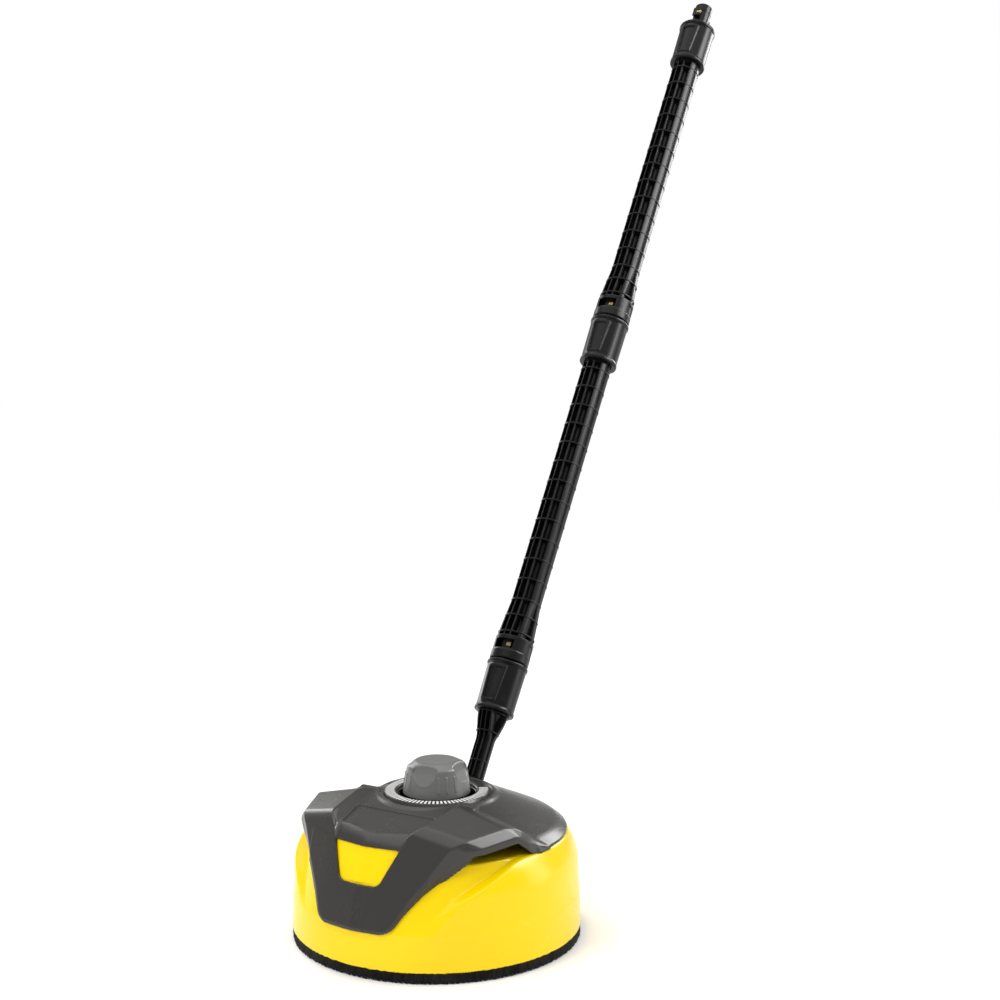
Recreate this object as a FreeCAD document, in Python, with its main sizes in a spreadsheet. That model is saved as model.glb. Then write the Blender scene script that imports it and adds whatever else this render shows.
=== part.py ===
"""Rotary surface cleaner for a pressure washer: a round spray hood on a brush skirt, with a
spinning two-nozzle rotor inside, a pressure regulator knob on top and a leaning wand made of
two ribbed extension tubes joined by quarter-turn couplings.

Frame: millimetres, origin on the hood's axis at floor level, front of the hood towards -Y,
wand leaning towards +Y, +Z up."""

import FreeCAD, Part
import math
import os
import re
import Sketcher
from FreeCAD import Placement, Rotation, Vector

DIMENSIONS = {
    # hood
    "hood_radius": 145.0,
    "rim_height": 10.3,
    "hood_wall": 3.0,
    "band_shoulder_radius": 142.6,
    "band_shoulder_height": 70.0,
    "band_bulge_radius": 139.4,
    "band_bulge_height": 92.0,
    "hood_top_radius": 131.0,
    "hood_top_height": 107.0,
    "recess_foot_radius": 144.0,
    "recess_foot_height": 46.0,
    "recess_top_radius": 124.6,
    "crease_front_height": 42.0,
    "crease_dip_y": 128.0,
    "crease_dip_height": 49.0,
    "crease_turn_y": 112.0,
    "crease_turn_height": 66.0,
    "crease_rise_y": 77.0,
    "crease_rise_height": 92.0,
    "crease_rear_y": 14.0,
    "pad_width": 90.0,
    "pad_height": 123.0,
    "pad_top_radius": 119.5,
    "plate_hole_radius": 22.0,
    # brush skirt
    "bristle_inner_radius": 134.5,
    "bristle_outer_radius": 144.3,
    "carrier_outer_radius": 141.0,
    "carrier_foot": 12.0,
    "carrier_height": 10.0,
    # cover
    "cover_wall": 3.0,
    "wing_radius": 131.0,
    "wing_foot": 104.5,
    "wing_edge": 110.3,
    "wing_bevel": 7.0,
    "wing_bevel_rise": 4.5,
    "boss_radius": 62.0,
    "boss_height": 141.5,
    "arm_depth": 13.0,
    "arm_height": 176.2,
    "arm_side_fall": 0.271,
    "arm_front_fall": 0.203,
    "heel_height": 130.5,
    "heel_side_fall": 0.193,
    "heel_rear_fall": 0.728,
    "brow_half_width": 50.0,
    "brow_y": 109.5,
    "arm_front_x": 96.5,
    "arm_front_y": 98.5,
    "arm_rear_x": 119.7,
    "arm_rear_y": 39.0,
    "arm_root_x": 67.0,
    "arm_root_y": 37.0,
    "wing_front_y": 14.0,
    "panel_height": 153.3,
    "panel_fall": 0.2,
    "visor_wall": 4.0,
    "visor_reach": 169.1,
    "visor_side_fall": 0.2767,
    "visor_rake": 0.3377,
    "visor_nose": 162.8,
    "visor_nose_rake": 0.3108,
    "dial_hole_radius": 39.0,
    "post_circle": 97.0,
    "post_radius": 5.0,
    "front_post_height": 35.0,
    "rear_post_height": 22.0,
    "post_bore_depth": 13.0,
    # dial and knob
    "ring_inner_radius": 40.0,
    "ring_outer_radius": 52.0,
    "ring_top": 145.2,
    "mark_length": 9.0,
    "mark_width": 2.0,
    "mark_depth": 0.4,
    "knob_foot": 143.0,
    "knob_radius": 34.0,
    "knob_shoulder": 149.0,
    "knob_neck_radius": 30.0,
    "knob_neck": 168.0,
    "knob_top_radius": 26.5,
    "knob_top": 176.0,
    "knob_bore_reach": 26.0,
    "knob_hub_radius": 9.0,
    "scoop_radius": 26.0,
    "scoop_offset": 23.5,
    "scoop_height": 165.0,
    "scoop_turn": 8.0,
    "clip_radius": 10.2,
    "clip_foot": 150.0,
    "clip_top": 154.0,
    "spindle_flat": 3.5,
    "bolt_circle": 15.0,
    "knob_wall": 2.6,
    # regulator valve
    "valve_radius": 20.0,
    "valve_flange_radius": 34.0,
    "valve_flange": 5.0,
    "valve_top": 130.0,
    "valve_bore": 7.0,
    "valve_floor": 109.0,
    "port_height": 118.0,
    "pipe_radius": 5.0,
    "pipe_bore": 3.0,
    "spindle_radius": 5.0,
    "bonnet_height": 6.0,
    "fit_gap": 0.05,
    # bearing and rotor
    "housing_radius": 19.0,
    "housing_foot": 66.0,
    "bearing_outer_radius": 11.0,
    "bearing_width": 7.0,
    "upper_bearing_foot": 87.0,
    "lower_bearing_foot": 69.0,
    "race_wall": 1.75,
    "ball_circle": 7.4,
    "ball_radius": 1.6,
    "shaft_radius": 4.0,
    "shaft_bore": 2.2,
    "shaft_foot": 38.0,
    "shaft_top": 97.4,
    "hub_radius": 15.0,
    "hub_foot": 36.0,
    "hub_top": 60.0,
    "arm_axis_height": 46.0,
    "arm_end": 112.0,
    "nozzle_circle": 117.0,
    "holder_radius": 9.0,
    # fasteners
    "screw_circle": 28.0,
    "screw_radius": 2.0,
    "screw_head_radius": 3.8,
    "screw_head": 3.0,
    "pilot_radius": 1.55,
    # wand
    "wand_foot_y": 71.87,
    "wand_foot_z": 145.2,
    "wand_lean": 31.63,
    "tube_pitch": 423.6,
    "root_radius": 10.3,
    "root_core_radius": 8.4,
    "root_flare_foot": 36.0,
    "root_flare_radius": 18.4,
    "root_depth": 24.0,
    "root_screw_depth": 17.0,
    "socket_barrel_radius": 15.0,
    "collar_foot": 65.5,
    "collar_length": 56.0,
    "collar_foot_radius": 20.7,
    "collar_top_radius": 21.4,
    "collar_rim_radius": 22.2,
    "neck_radius": 15.5,
    "stub_radius": 10.65,
    "stub_relief": 0.35,
    "stub_top": 155.7,
    "stub_bore": 4.0,
    "lug_radius": 15.3,
    "lug_foot": 134.0,
    "lug_top": 145.0,
    "lug_angle": 40.0,
    "twist_angle": 90.0,
    "socket_foot": 122.5,
    "socket_radius": 21.0,
    "sheath_radius": 16.8,
    "sheath_core_radius": 13.6,
    "sheath_bore": 12.0,
    "fin_width": 1.6,
    "ring_pitch": 23.87,
    "first_ring": 191.7,
    "inner_pipe_radius": 5.0,
}

MARK_COUNT = 56
MARK_PITCH_DEGREES = 4.7
BALLS_PER_BEARING = 7
KNOB_SCOOPS = 4
FIN_SHARES = (-0.766, -0.25, 0.25, 0.766)
RINGS_PER_TUBE = 13
FUNCTIONS = {"sin", "cos", "tan", "sqrt"}

doc = FreeCAD.newDocument("surface_cleaner")
sheet = doc.addObject("Spreadsheet::Sheet", "Dims")
for row, (alias, number) in enumerate(DIMENSIONS.items(), start=1):
    sheet.set("A%d" % row, alias)
    sheet.set("B%d" % row, str(number))
    sheet.setAlias("B%d" % row, alias)
doc.recompute()

nodes = []


# ---------------------------------------------------------------- helpers

def bound(text):
    """The expression with every dimension name pointing at the sheet."""
    def point(match):
        word = match.group(0)
        return word if word in FUNCTIONS else "Dims." + word
    return re.sub(r"[a-z][a-z_]*", point, str(text))


def value(text):
    return float(sheet.evalExpression(bound(text)))


def bind(thing, **expressions):
    """Binds properties to expressions; a double underscore stands for a dot."""
    for name, text in expressions.items():
        path = name.replace("__", ".")
        thing.setExpression(path, bound(text))
    return thing


def move(thing, x="0", y="0", z="0"):
    """Binds the position of an object to expressions."""
    thing.Placement.Base = Vector(value(x), value(y), value(z))
    bind(thing, Placement__Base__x=x, Placement__Base__y=y, Placement__Base__z=z)
    return thing


def outline(name, points, rotation=Rotation()):
    """A closed sketch through the points, each held by two dimensions. A point is (x, y),
    or (x, y, via_x, via_y) where an arc through the via point arrives at it."""
    sketch = doc.addObject("Sketcher::SketchObject", name)
    sketch.Placement = Placement(Vector(), rotation)
    spots = [Vector(value(p[0]), value(p[1]), 0) for p in points]
    count = len(points)
    ends = []
    for index in range(count):
        start, arrive = spots[index], (index + 1) % count
        end = spots[arrive]
        if len(points[arrive]) == 2:
            sketch.addGeometry(Part.LineSegment(start, end), False)
        else:
            via = Vector(value(points[arrive][2]), value(points[arrive][3]), 0)
            turns_left = (via - start).cross(end - via).z > 0
            first, last = (start, end) if turns_left else (end, start)
            sketch.addGeometry(Part.ArcOfCircle(first, via, last), False)
        forward = sketch.Geometry[index].StartPoint.distanceToPoint(start) < 1e-6
        ends.append((1, 2) if forward else (2, 1))
    for index in range(count):
        follower = (index + 1) % count
        sketch.addConstraint(Sketcher.Constraint("Coincident", index, ends[index][1],
                                                 follower, ends[follower][0]))
    for index in range(count):
        pin(sketch, index, ends[index][0], points[index][0], points[index][1])
    for index in range(count):
        arrive = points[(index + 1) % count]
        if len(arrive) == 4:
            via = Vector(value(arrive[2]), value(arrive[3]), 0)
            marker = sketch.addGeometry(Part.Point(via), True)
            sketch.addConstraint(Sketcher.Constraint("PointOnObject", marker, 1, index))
            pin(sketch, marker, 1, arrive[2], arrive[3])
    return sketch


def pin(sketch, geometry, end, x, y):
    """Holds a sketch point at (x, y) from the origin."""
    for kind, text in (("DistanceX", x), ("DistanceY", y)):
        constraint = Sketcher.Constraint(kind, -1, 1, geometry, end, value(text))
        index = sketch.addConstraint(constraint)
        if re.search("[a-z]", str(text)):
            sketch.setExpression("Constraints[%d]" % index, bound(text))


UPRIGHT = Rotation(Vector(1, 0, 0), 90)
SIDEWAYS = Rotation(Vector(0, 1, 0), Vector(0, 0, 1), Vector(1, 0, 0), "ZXY")


def turned(name, points, angle=360.0):
    """A solid of revolution about Z from (radius, height) points."""
    solid = doc.addObject("Part::Revolution", name)
    solid.Source = outline(name + "_profile", points, UPRIGHT)
    solid.Axis = Vector(0, 0, 1)
    solid.Base = Vector(0, 0, 0)
    solid.Angle = angle
    solid.Solid = True
    return solid


def extruded(name, points, length, rotation=Rotation(), direction=Vector(0, 0, 1)):
    """A prism of the outline, centred on the sketch plane."""
    solid = doc.addObject("Part::Extrusion", name)
    solid.Base = outline(name + "_profile", points, rotation)
    solid.DirMode = "Custom"
    solid.Dir = direction
    solid.Solid = True
    solid.Symmetric = True
    bind(solid, LengthFwd=length)
    return solid


def plan(name, points, length="400"):
    return extruded(name, points, length)


def front_view(name, points, length="400"):
    return extruded(name, points, length, UPRIGHT, Vector(0, -1, 0))


def side_view(name, points, length="400"):
    return extruded(name, points, length, SIDEWAYS, Vector(1, 0, 0))


def cylinder(name, radius, height, x="0", y="0", z="0", axis=Vector(0, 0, 1)):
    solid = doc.addObject("Part::Cylinder", name)
    bind(solid, Radius=radius, Height=height)
    solid.Placement = Placement(Vector(), Rotation(Vector(0, 0, 1), axis))
    return move(solid, x, y, z)


def block(name, size, corner):
    solid = doc.addObject("Part::Box", name)
    bind(solid, Length=size[0], Width=size[1], Height=size[2])
    return move(solid, *corner)


def fuse(name, parts):
    solid = doc.addObject("Part::MultiFuse", name)
    solid.Shapes = parts
    return solid


def common(name, first, second):
    solid = doc.addObject("Part::Common", name)
    solid.Base = first
    solid.Tool = second
    return solid


def cut(name, base, *tools):
    solid = doc.addObject("Part::Cut", name)
    solid.Base = base
    solid.Tool = tools[0] if len(tools) == 1 else fuse(name + "_tools", list(tools))
    return solid


def group(name, parts):
    """Separate identical solids kept together in one node."""
    bundle = doc.addObject("Part::Compound", name)
    bundle.Links = parts
    return bundle


def node(label, thing):
    """Registers a finished piece under the name of its file."""
    thing.Label = label
    nodes.append(thing)
    return thing


def wand_spot(along):
    """The y and z expressions of a point on the wand's axis."""
    return ("wand_foot_y + (%s) * sin(wand_lean)" % along,
            "wand_foot_z + (%s) * cos(wand_lean)" % along)


def on_wand(thing, along="0"):
    """Places a piece made about Z onto the leaning axis of the wand, shifted along it."""
    y, z = wand_spot(along)
    lean = Rotation(Vector(-1, 0, 0), value("wand_lean"))
    thing.Placement = Placement(Vector(0, value(y), value(z)), lean)
    bind(thing, Placement__Base__y=y, Placement__Base__z=z)
    bind(thing, Placement__Rotation__Angle="wand_lean")
    return thing


def spun(thing, degrees):
    """Turns an object about the Z axis through the origin."""
    for axis in "xyz":
        thing.setExpression("Placement.Base." + axis, None)
    turn = Placement(Vector(), Rotation(Vector(0, 0, 1), degrees))
    thing.Placement = turn.multiply(thing.Placement)
    return thing


def mirrored(points):
    """The half outline with x > 0, completed by its mirror image in x."""
    other = [("-(%s)" % p[0],) + tuple(p[1:]) for p in reversed(points)]
    return list(points) + other


# ---------------------------------------------------------------- hood

def hood_form(name, inset):
    """The hood's outer form, or with an inset its cavity: a recessed cone at the front and
    a fuller band behind and below the crease that sweeps up each side."""
    top = "hood_top_height - %s" % inset
    foot = "rim_height" if inset == "0" else "0"
    cone = turned(name + "_cone", [
        ("0", foot),
        ("recess_foot_radius - %s" % inset, foot),
        ("recess_foot_radius - %s" % inset, "recess_foot_height"),
        ("recess_top_radius - %s" % inset, top),
        ("0", top),
    ])
    band = turned(name + "_band", [
        ("0", foot),
        ("hood_radius - %s" % inset, foot),
        ("band_shoulder_radius - %s" % inset, "band_shoulder_height"),
        ("hood_top_radius - %s" % inset, top,
         "band_bulge_radius - %s" % inset, "band_bulge_height - %s / 2" % inset),
        ("0", top),
    ])
    crease_end = "-crease_rear_y + %s" % inset
    below_crease = side_view(name + "_below_crease", [
        ("-hood_radius - 5", "-5"),
        ("hood_radius + 5", "-5"),
        ("hood_radius + 5", "hood_top_height + 5"),
        (crease_end, "hood_top_height + 5"),
        (crease_end, "hood_top_height"),
        ("-crease_turn_y + %s" % inset, "crease_turn_height - %s / 2" % inset,
         "-crease_rise_y + %s" % inset, "crease_rise_height - %s / 2" % inset),
        ("-hood_radius - 5", "crease_front_height - %s" % inset,
         "-crease_dip_y + %s" % inset, "crease_dip_height - %s / 2" % inset),
    ])
    full_band = common(name + "_full_band", band, below_crease)
    return fuse(name, [cone, full_band])


def post_spots():
    """Where the cover's four posts stand, as x and y expressions."""
    angles = (50, 125)
    for side in (1, -1):
        for angle in angles:
            yield ("%d * post_circle * sin(%d)" % (side, angle),
                   "-post_circle * cos(%d)" % angle)


def screw_spots():
    for index in range(4):
        angle = 45 + 90 * index
        yield ("screw_circle * sin(%d)" % angle, "screw_circle * cos(%d)" % angle)


def hood_body(name):
    """The hood's whole outer form with the raised pad behind the window."""
    pad_cone = turned(name + "_pad_cone", [
        ("0", "rim_height"),
        ("recess_foot_radius", "rim_height"),
        ("recess_foot_radius", "recess_foot_height"),
        ("pad_top_radius", "pad_height"),
        ("0", "pad_height"),
    ])
    pad_reach = block(name + "_pad_reach", ("pad_width", "40", "30"),
                      ("-pad_width / 2", "-hood_radius", "hood_top_height - hood_wall"))
    return fuse(name, [hood_form(name + "_outer", "0"),
                       common(name + "_pad", pad_cone, pad_reach)])


def make_hood():
    hollow = turned("hood_pad_hollow_cone", [
        ("0", "rim_height"),
        ("recess_foot_radius - hood_wall", "recess_foot_height"),
        ("pad_top_radius - hood_wall", "pad_height - hood_wall"),
        ("0", "pad_height - hood_wall"),
    ])
    hollow_reach = block("hood_pad_hollow_reach", ("pad_width - 2 * hood_wall", "40", "30"),
                         ("hood_wall - pad_width / 2", "-hood_radius",
                          "hood_top_height - hood_wall - 1"))
    pad_hollow = common("hood_pad_hollow", hollow, hollow_reach)
    holes = [cylinder("hood_centre_hole", "plate_hole_radius", "20",
                      z="hood_top_height - 10")]
    for index, (x, y) in enumerate(post_spots()):
        holes.append(cylinder("hood_post_hole_%d" % index, "screw_radius + fit_gap", "20",
                              x, y, "hood_top_height - 10"))
    for index, (x, y) in enumerate(screw_spots()):
        holes.append(cylinder("hood_screw_hole_%d" % index, "screw_radius + fit_gap", "20",
                              x, y, "hood_top_height - 10"))
    node("hood_shell", cut("hood", hood_body("hood_body"),
                           hood_form("hood_cavity", "hood_wall"), pad_hollow, *holes))


# ---------------------------------------------------------------- cover

def behind_face(name, side, inset):
    """Everything behind one raked front face of the visor, as a sheared half space."""
    reach = value("visor_reach") - inset
    across = value("visor_side_fall")
    rake = value("visor_rake")
    far = 300.0

    def face(x, z):
        return Vector(side * x, -reach + across * x + rake * z, z)

    corners = [face(-200, 0), face(200, 0), face(200, 200), face(-200, 200)]
    front = Part.Face(Part.makePolygon(corners + corners[:1]))
    solid = doc.addObject("Part::Feature", name)
    solid.Shape = front.extrude(Vector(0, far, 0))
    return solid


def below_plane(name, height, side_fall, front_fall, side):
    """Everything under a roof plane that falls to the side and to the front."""
    def roof(x, y):
        return Vector(x, y, height - side_fall * side * x + front_fall * y)

    corners = [roof(-200, -200), roof(200, -200), roof(200, 200), roof(-200, 200)]
    top = Part.Face(Part.makePolygon(corners + corners[:1]))
    solid = doc.addObject("Part::Feature", name)
    solid.Shape = top.extrude(Vector(0, 0, -300))
    return solid


def make_arm(side):
    """One raised arm of the cover: a hollow wedge open underneath."""
    name = "arm_right" if side > 0 else "arm_left"
    sign = "" if side > 0 else "-"

    def footprint(inset):
        return [
            (sign + "(brow_half_width + %s)" % inset, "-brow_y + %s" % inset),
            (sign + "(arm_front_x - %s)" % inset, "-arm_front_y + %s" % inset),
            (sign + "(arm_rear_x - %s)" % inset, "-arm_rear_y"),
            (sign + "(wing_radius - 2 - %s)" % inset, "-wing_front_y + 2 - %s / 2" % inset),
            (sign + "(arm_root_x - 12 + %s)" % inset, "-wing_front_y + 2 - %s / 2" % inset),
            (sign + "(arm_root_x - 17 + %s)" % inset, "-arm_root_y - 25"),
        ]

    def below_roof(tag, drop):
        """Under both roof planes, the arm's own and the heel that falls to the wing."""
        front = below_plane(tag + "_front", value("arm_height") - drop,
                            value("arm_side_fall"), value("arm_front_fall"), side)
        heel = below_plane(tag + "_heel", value("heel_height") - drop,
                           value("heel_side_fall"), -value("heel_rear_fall"), side)
        return common(tag, front, heel)

    blank = common(name + "_blank", plan(name + "_plan", footprint("0")),
                   below_roof(name + "_roof", 0))
    hollow = common(name + "_hollow", plan(name + "_hollow_plan", footprint("cover_wall")),
                    below_roof(name + "_ceiling", value("cover_wall")))
    return cut(name, blank, below_roof(name + "_under", value("arm_depth")), hollow)


def make_visor():
    """The V-shaped front of the cover with its trapezoid window."""
    wall = value("visor_wall")
    profile = front_view("visor_outline", mirrored([
        ("40", "45.5"),
        ("52", "64"),
        ("65", "87"),
        ("83", "118"),
        ("arm_front_x", "126"),
        ("arm_front_x", "131"),
        ("brow_half_width", "140.4"),
        ("brow_half_width - 4", "131.5"),
    ]))
    window = front_view("visor_window", mirrored([
        ("21", "86"),
        ("37.4", "120"),
    ]))
    nose = side_view("visor_nose", [
        ("-visor_nose", "0"),
        ("-visor_nose + 200 * visor_nose_rake", "200"),
        ("100", "200"),
        ("100", "0"),
    ])
    hollow_nose = side_view("visor_hollow_nose", [
        ("-visor_nose + visor_wall", "0"),
        ("-visor_nose + visor_wall + 200 * visor_nose_rake", "200"),
        ("100", "200"),
        ("100", "0"),
    ])
    outer = profile
    inner = hollow_nose
    for side in (1, -1):
        tag = "right" if side > 0 else "left"
        outer = common("visor_outer_" + tag, outer, behind_face("visor_face_" + tag, side, 0))
        inner = common("visor_inner_" + tag, inner,
                       behind_face("visor_back_" + tag, side, wall))
    outer = common("visor_blank", outer, nose)
    return cut("visor", outer, window, inner)


def make_panel():
    """The sunk central panel between the arms, rising to the boss."""
    wall = value("cover_wall")
    height = value("panel_height")
    fall = value("panel_fall")
    footprint = mirrored([
        ("brow_half_width - 1", "-brow_y"),
        ("brow_half_width + 8", "-arm_root_y - 10"),
        ("brow_half_width + 4", "-arm_root_y + 12"),
    ])
    roof = common("panel_blank", plan("panel_plan", footprint),
                  below_plane("panel_roof", height, 0, fall, 1))
    return cut("panel", roof, below_plane("panel_under", height - wall, 0, fall, 1))


def make_wing():
    """The rear wing: a low cone round the boss with a bevelled edge, cut off at the front."""
    outer = turned("wing_outer", [
        ("0", "wing_foot"),
        ("wing_radius", "wing_foot"),
        ("wing_radius", "wing_edge"),
        ("wing_radius - wing_bevel", "wing_edge + wing_bevel_rise"),
        ("boss_radius", "boss_height"),
        ("0", "boss_height"),
    ])
    inner = turned("wing_inner", [
        ("0", "wing_foot - 5"),
        ("wing_radius - cover_wall", "wing_foot - 5"),
        ("wing_radius - cover_wall", "wing_edge - 1"),
        ("boss_radius", "boss_height - cover_wall - 1"),
        ("0", "boss_height - cover_wall - 1"),
    ])
    shell = cut("wing_shell", outer, inner)
    reach = plan("wing_reach", mirrored([
        ("boss_radius - 12", "-arm_root_y - 10"),
        ("arm_root_x - 4", "-wing_front_y - 4"),
        ("wing_radius + 20", "-wing_front_y"),
        ("wing_radius + 20", "wing_radius + 20"),
    ]))
    return common("wing", shell, reach)


def under_wing(name, gap):
    """The room under the wing, with a gap left below its inner face."""
    drop = "cover_wall + 1 + %s" % gap
    return turned(name, [
        ("0", "hood_top_height"),
        ("wing_radius - cover_wall", "hood_top_height"),
        ("wing_radius - cover_wall", "wing_edge - 1 - (%s)" % gap),
        ("boss_radius", "boss_height - (%s)" % drop),
        ("0", "boss_height - (%s)" % drop),
    ])


def make_cover():
    boss = turned("boss", [
        ("dial_hole_radius", "boss_height - cover_wall - 1"),
        ("boss_radius", "boss_height - cover_wall - 1"),
        ("boss_radius - 1", "boss_height + 0.8"),
        ("dial_hole_radius", "boss_height + 0.8"),
    ])
    front_posts = []
    rear_posts = []
    holes = [cylinder("cover_dial_hole", "dial_hole_radius", "60", z="120")]
    for index, (x, y) in enumerate(post_spots()):
        store = rear_posts if index % 2 else front_posts
        height = "rear_post_height" if index % 2 else "front_post_height"
        store.append(cylinder("cover_post_%d" % index, "post_radius", height, x, y,
                              "hood_top_height"))
        holes.append(cylinder("cover_post_bore_%d" % index, "screw_radius + fit_gap",
                              "post_bore_depth", x, y, "hood_top_height"))
    wand_hole = on_wand(cylinder("cover_wand_hole", "root_radius + 0.4", "60"), "-30")
    trimmed_posts = common("cover_posts", fuse("cover_post_blanks", rear_posts),
                           under_wing("cover_post_roof", "-2"))
    ring_seat = cylinder("cover_ring_seat", "ring_outer_radius + 1.5 + fit_gap", "40",
                         z="boss_height + 0.8")
    body = fuse("cover_body", [make_arm(1), make_arm(-1), make_visor(), make_panel(),
                               make_wing(), boss, trimmed_posts] + front_posts)
    node("top_cover", cut("cover", body, wand_hole, ring_seat, hood_body("cover_room"),
                          *holes))


# ---------------------------------------------------------------- dial and knob

def make_dial():
    ring = turned("dial_ring", [
        ("ring_inner_radius", "boss_height + 0.8"),
        ("ring_outer_radius + 1.5", "boss_height + 0.8"),
        ("ring_outer_radius", "ring_top"),
        ("ring_inner_radius + 1", "ring_top"),
    ])
    marks = []
    pockets = []
    for index in range(MARK_COUNT):
        degrees = (index - (MARK_COUNT - 1) / 2) * MARK_PITCH_DEGREES
        for store, tag in ((marks, "dial_mark"), (pockets, "dial_mark_pocket")):
            mark = block("%s_%d" % (tag, index), ("mark_width", "mark_length", "mark_depth"),
                         ("-mark_width / 2", "-ring_outer_radius + 0.5",
                          "ring_top - mark_depth"))
            store.append(spun(mark, degrees))
    node("scale_ring", cut("dial", ring, *pockets))
    node("scale_marks", group("dial_marks", marks))


def make_knob():
    outer = turned("knob_outer", [
        ("0", "knob_foot"),
        ("knob_radius", "knob_foot"),
        ("knob_radius", "knob_shoulder - 2"),
        ("knob_neck_radius", "knob_neck"),
        ("knob_top_radius", "knob_top - 1.5"),
        ("knob_top_radius - 3", "knob_top"),
        ("0", "knob_top + 0.6"),
    ])
    scoops = []
    for index in range(KNOB_SCOOPS):
        scoop = doc.addObject("Part::Sphere", "knob_scoop_%d" % index)
        scoop.Radius = value("scoop_radius")
        reach = value("knob_neck_radius") + value("scoop_offset")
        scoop.Placement.Base = Vector(0, -reach, value("scoop_height"))
        scoops.append(spun(scoop, value("scoop_turn") + 360 / KNOB_SCOOPS * index))
    hollow = turned("knob_hollow", [
        ("knob_hub_radius", "knob_foot - 1"),
        ("knob_radius - knob_wall", "knob_foot - 1"),
        ("knob_radius - knob_wall", "knob_shoulder - 2"),
        ("knob_neck_radius - 7", "knob_neck - 4"),
        ("knob_hub_radius", "knob_neck - 4"),
    ])
    bore = cylinder("knob_bore", "spindle_radius + fit_gap", "knob_bore_reach", z="knob_foot - 1")
    flat = block("knob_bore_flat", ("20", "10", "40"), ("-10", "spindle_flat + fit_gap", "knob_foot - 2"))
    d_bore = cut("knob_d_bore", bore, flat)
    node("regulator_knob", cut("knob", outer, d_bore, hollow, *scoops))
    node("knob_clip", turned("clip", [
        ("knob_hub_radius", "clip_foot"),
        ("clip_radius", "clip_foot"),
        ("clip_radius", "clip_top"),
        ("knob_hub_radius", "clip_top"),
    ]))


# ---------------------------------------------------------------- regulator valve

def make_valve():
    spigot_foot = "hood_top_height - hood_wall - 5.8"
    body = turned("valve_blank", [
        ("0", spigot_foot),
        ("15", spigot_foot),
        ("15", "hood_top_height"),
        ("valve_flange_radius", "hood_top_height"),
        ("valve_flange_radius", "hood_top_height + valve_flange"),
        ("valve_radius", "hood_top_height + valve_flange"),
        ("valve_radius", "valve_top"),
        ("0", "valve_top"),
    ])
    port = cylinder("valve_port", "9", "34", z="port_height", axis=Vector(0, 1, 0))
    bore = turned("valve_bores", [
        ("0", "hood_top_height - 20"),
        ("pipe_bore", "hood_top_height - 20"),
        ("pipe_bore", "valve_floor"),
        ("valve_bore", "valve_floor + 3"),
        ("valve_bore", "valve_top + 1"),
        ("0", "valve_top + 1"),
    ])
    inlet = cylinder("valve_inlet", "pipe_bore", "40", z="port_height", axis=Vector(0, 1, 0))
    seat = cylinder("valve_pipe_seat", "pipe_radius + fit_gap", "20", y="24", z="port_height",
                    axis=Vector(0, 1, 0))
    holes = []
    for index, (x, y) in enumerate(screw_spots()):
        holes.append(cylinder("valve_screw_hole_%d" % index, "screw_radius + fit_gap",
                              "valve_flange - 1 + 10", x, y, "hood_top_height - 10"))
    for index in range(3):
        hole = cylinder("valve_bonnet_hole_%d" % index, "pilot_radius", "8",
                        "bolt_circle * sin(%d)" % (60 + 120 * index),
                        "bolt_circle * cos(%d)" % (60 + 120 * index), "valve_top - 7")
        holes.append(hole)
    solid = fuse("valve_solid", [body, port])
    node("valve_body", cut("valve", solid, bore, inlet, seat, *holes))

    bonnet = turned("bonnet_blank", [
        ("spindle_radius + fit_gap", "valve_top"),
        ("valve_radius", "valve_top"),
        ("valve_radius - 1", "valve_top + bonnet_height"),
        ("spindle_radius + fit_gap", "valve_top + bonnet_height"),
    ])
    bonnet_holes = []
    screws = []
    for index in range(3):
        x = "bolt_circle * sin(%d)" % (60 + 120 * index)
        y = "bolt_circle * cos(%d)" % (60 + 120 * index)
        bonnet_holes.append(cylinder("bonnet_hole_%d" % index, "pilot_radius", "12", x, y,
                                     "valve_top - 1"))
        screw = turned("bonnet_screw_%d" % index, [
            ("0", "valve_top - 6"),
            ("1.5", "valve_top - 6"),
            ("1.5", "valve_top + bonnet_height"),
            ("2.8", "valve_top + bonnet_height"),
            ("2.8", "valve_top + bonnet_height + 1.8"),
            ("0", "valve_top + bonnet_height + 1.8"),
        ])
        screws.append(move(screw, x, y, "0"))
    node("valve_bonnet", cut("bonnet", bonnet, *bonnet_holes))
    node("bonnet_screws", group("bonnet_screw_set", screws))


def make_spindle():
    shaft = turned("spindle_shaft", [
        ("0", "valve_top - 4"),
        ("6.6", "valve_top - 4"),
        ("6.6", "valve_top - 0.1"),
        ("spindle_radius", "valve_top - 0.1"),
        ("spindle_radius", "valve_top + 2"),
        ("spindle_radius - 1", "valve_top + 2"),
        ("spindle_radius - 1", "valve_top + 4"),
        ("spindle_radius", "valve_top + 4"),
        ("spindle_radius", "knob_neck - 6"),
        ("0", "knob_neck - 6"),
    ])
    flat = block("spindle_flat", ("20", "10", "40"), ("-10", "spindle_flat", "knob_foot - 1"))
    bore = cylinder("spindle_bore", "3 + fit_gap", "14", z="valve_top - 5")
    node("regulator_spindle", cut("spindle", shaft, flat, bore))
    node("spindle_seal", turned("spindle_ring", [
        ("spindle_radius - 1", "valve_top + 2.1"),
        ("spindle_radius", "valve_top + 2.1"),
        ("spindle_radius", "valve_top + 3.9"),
        ("spindle_radius - 1", "valve_top + 3.9"),
    ]))


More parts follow.
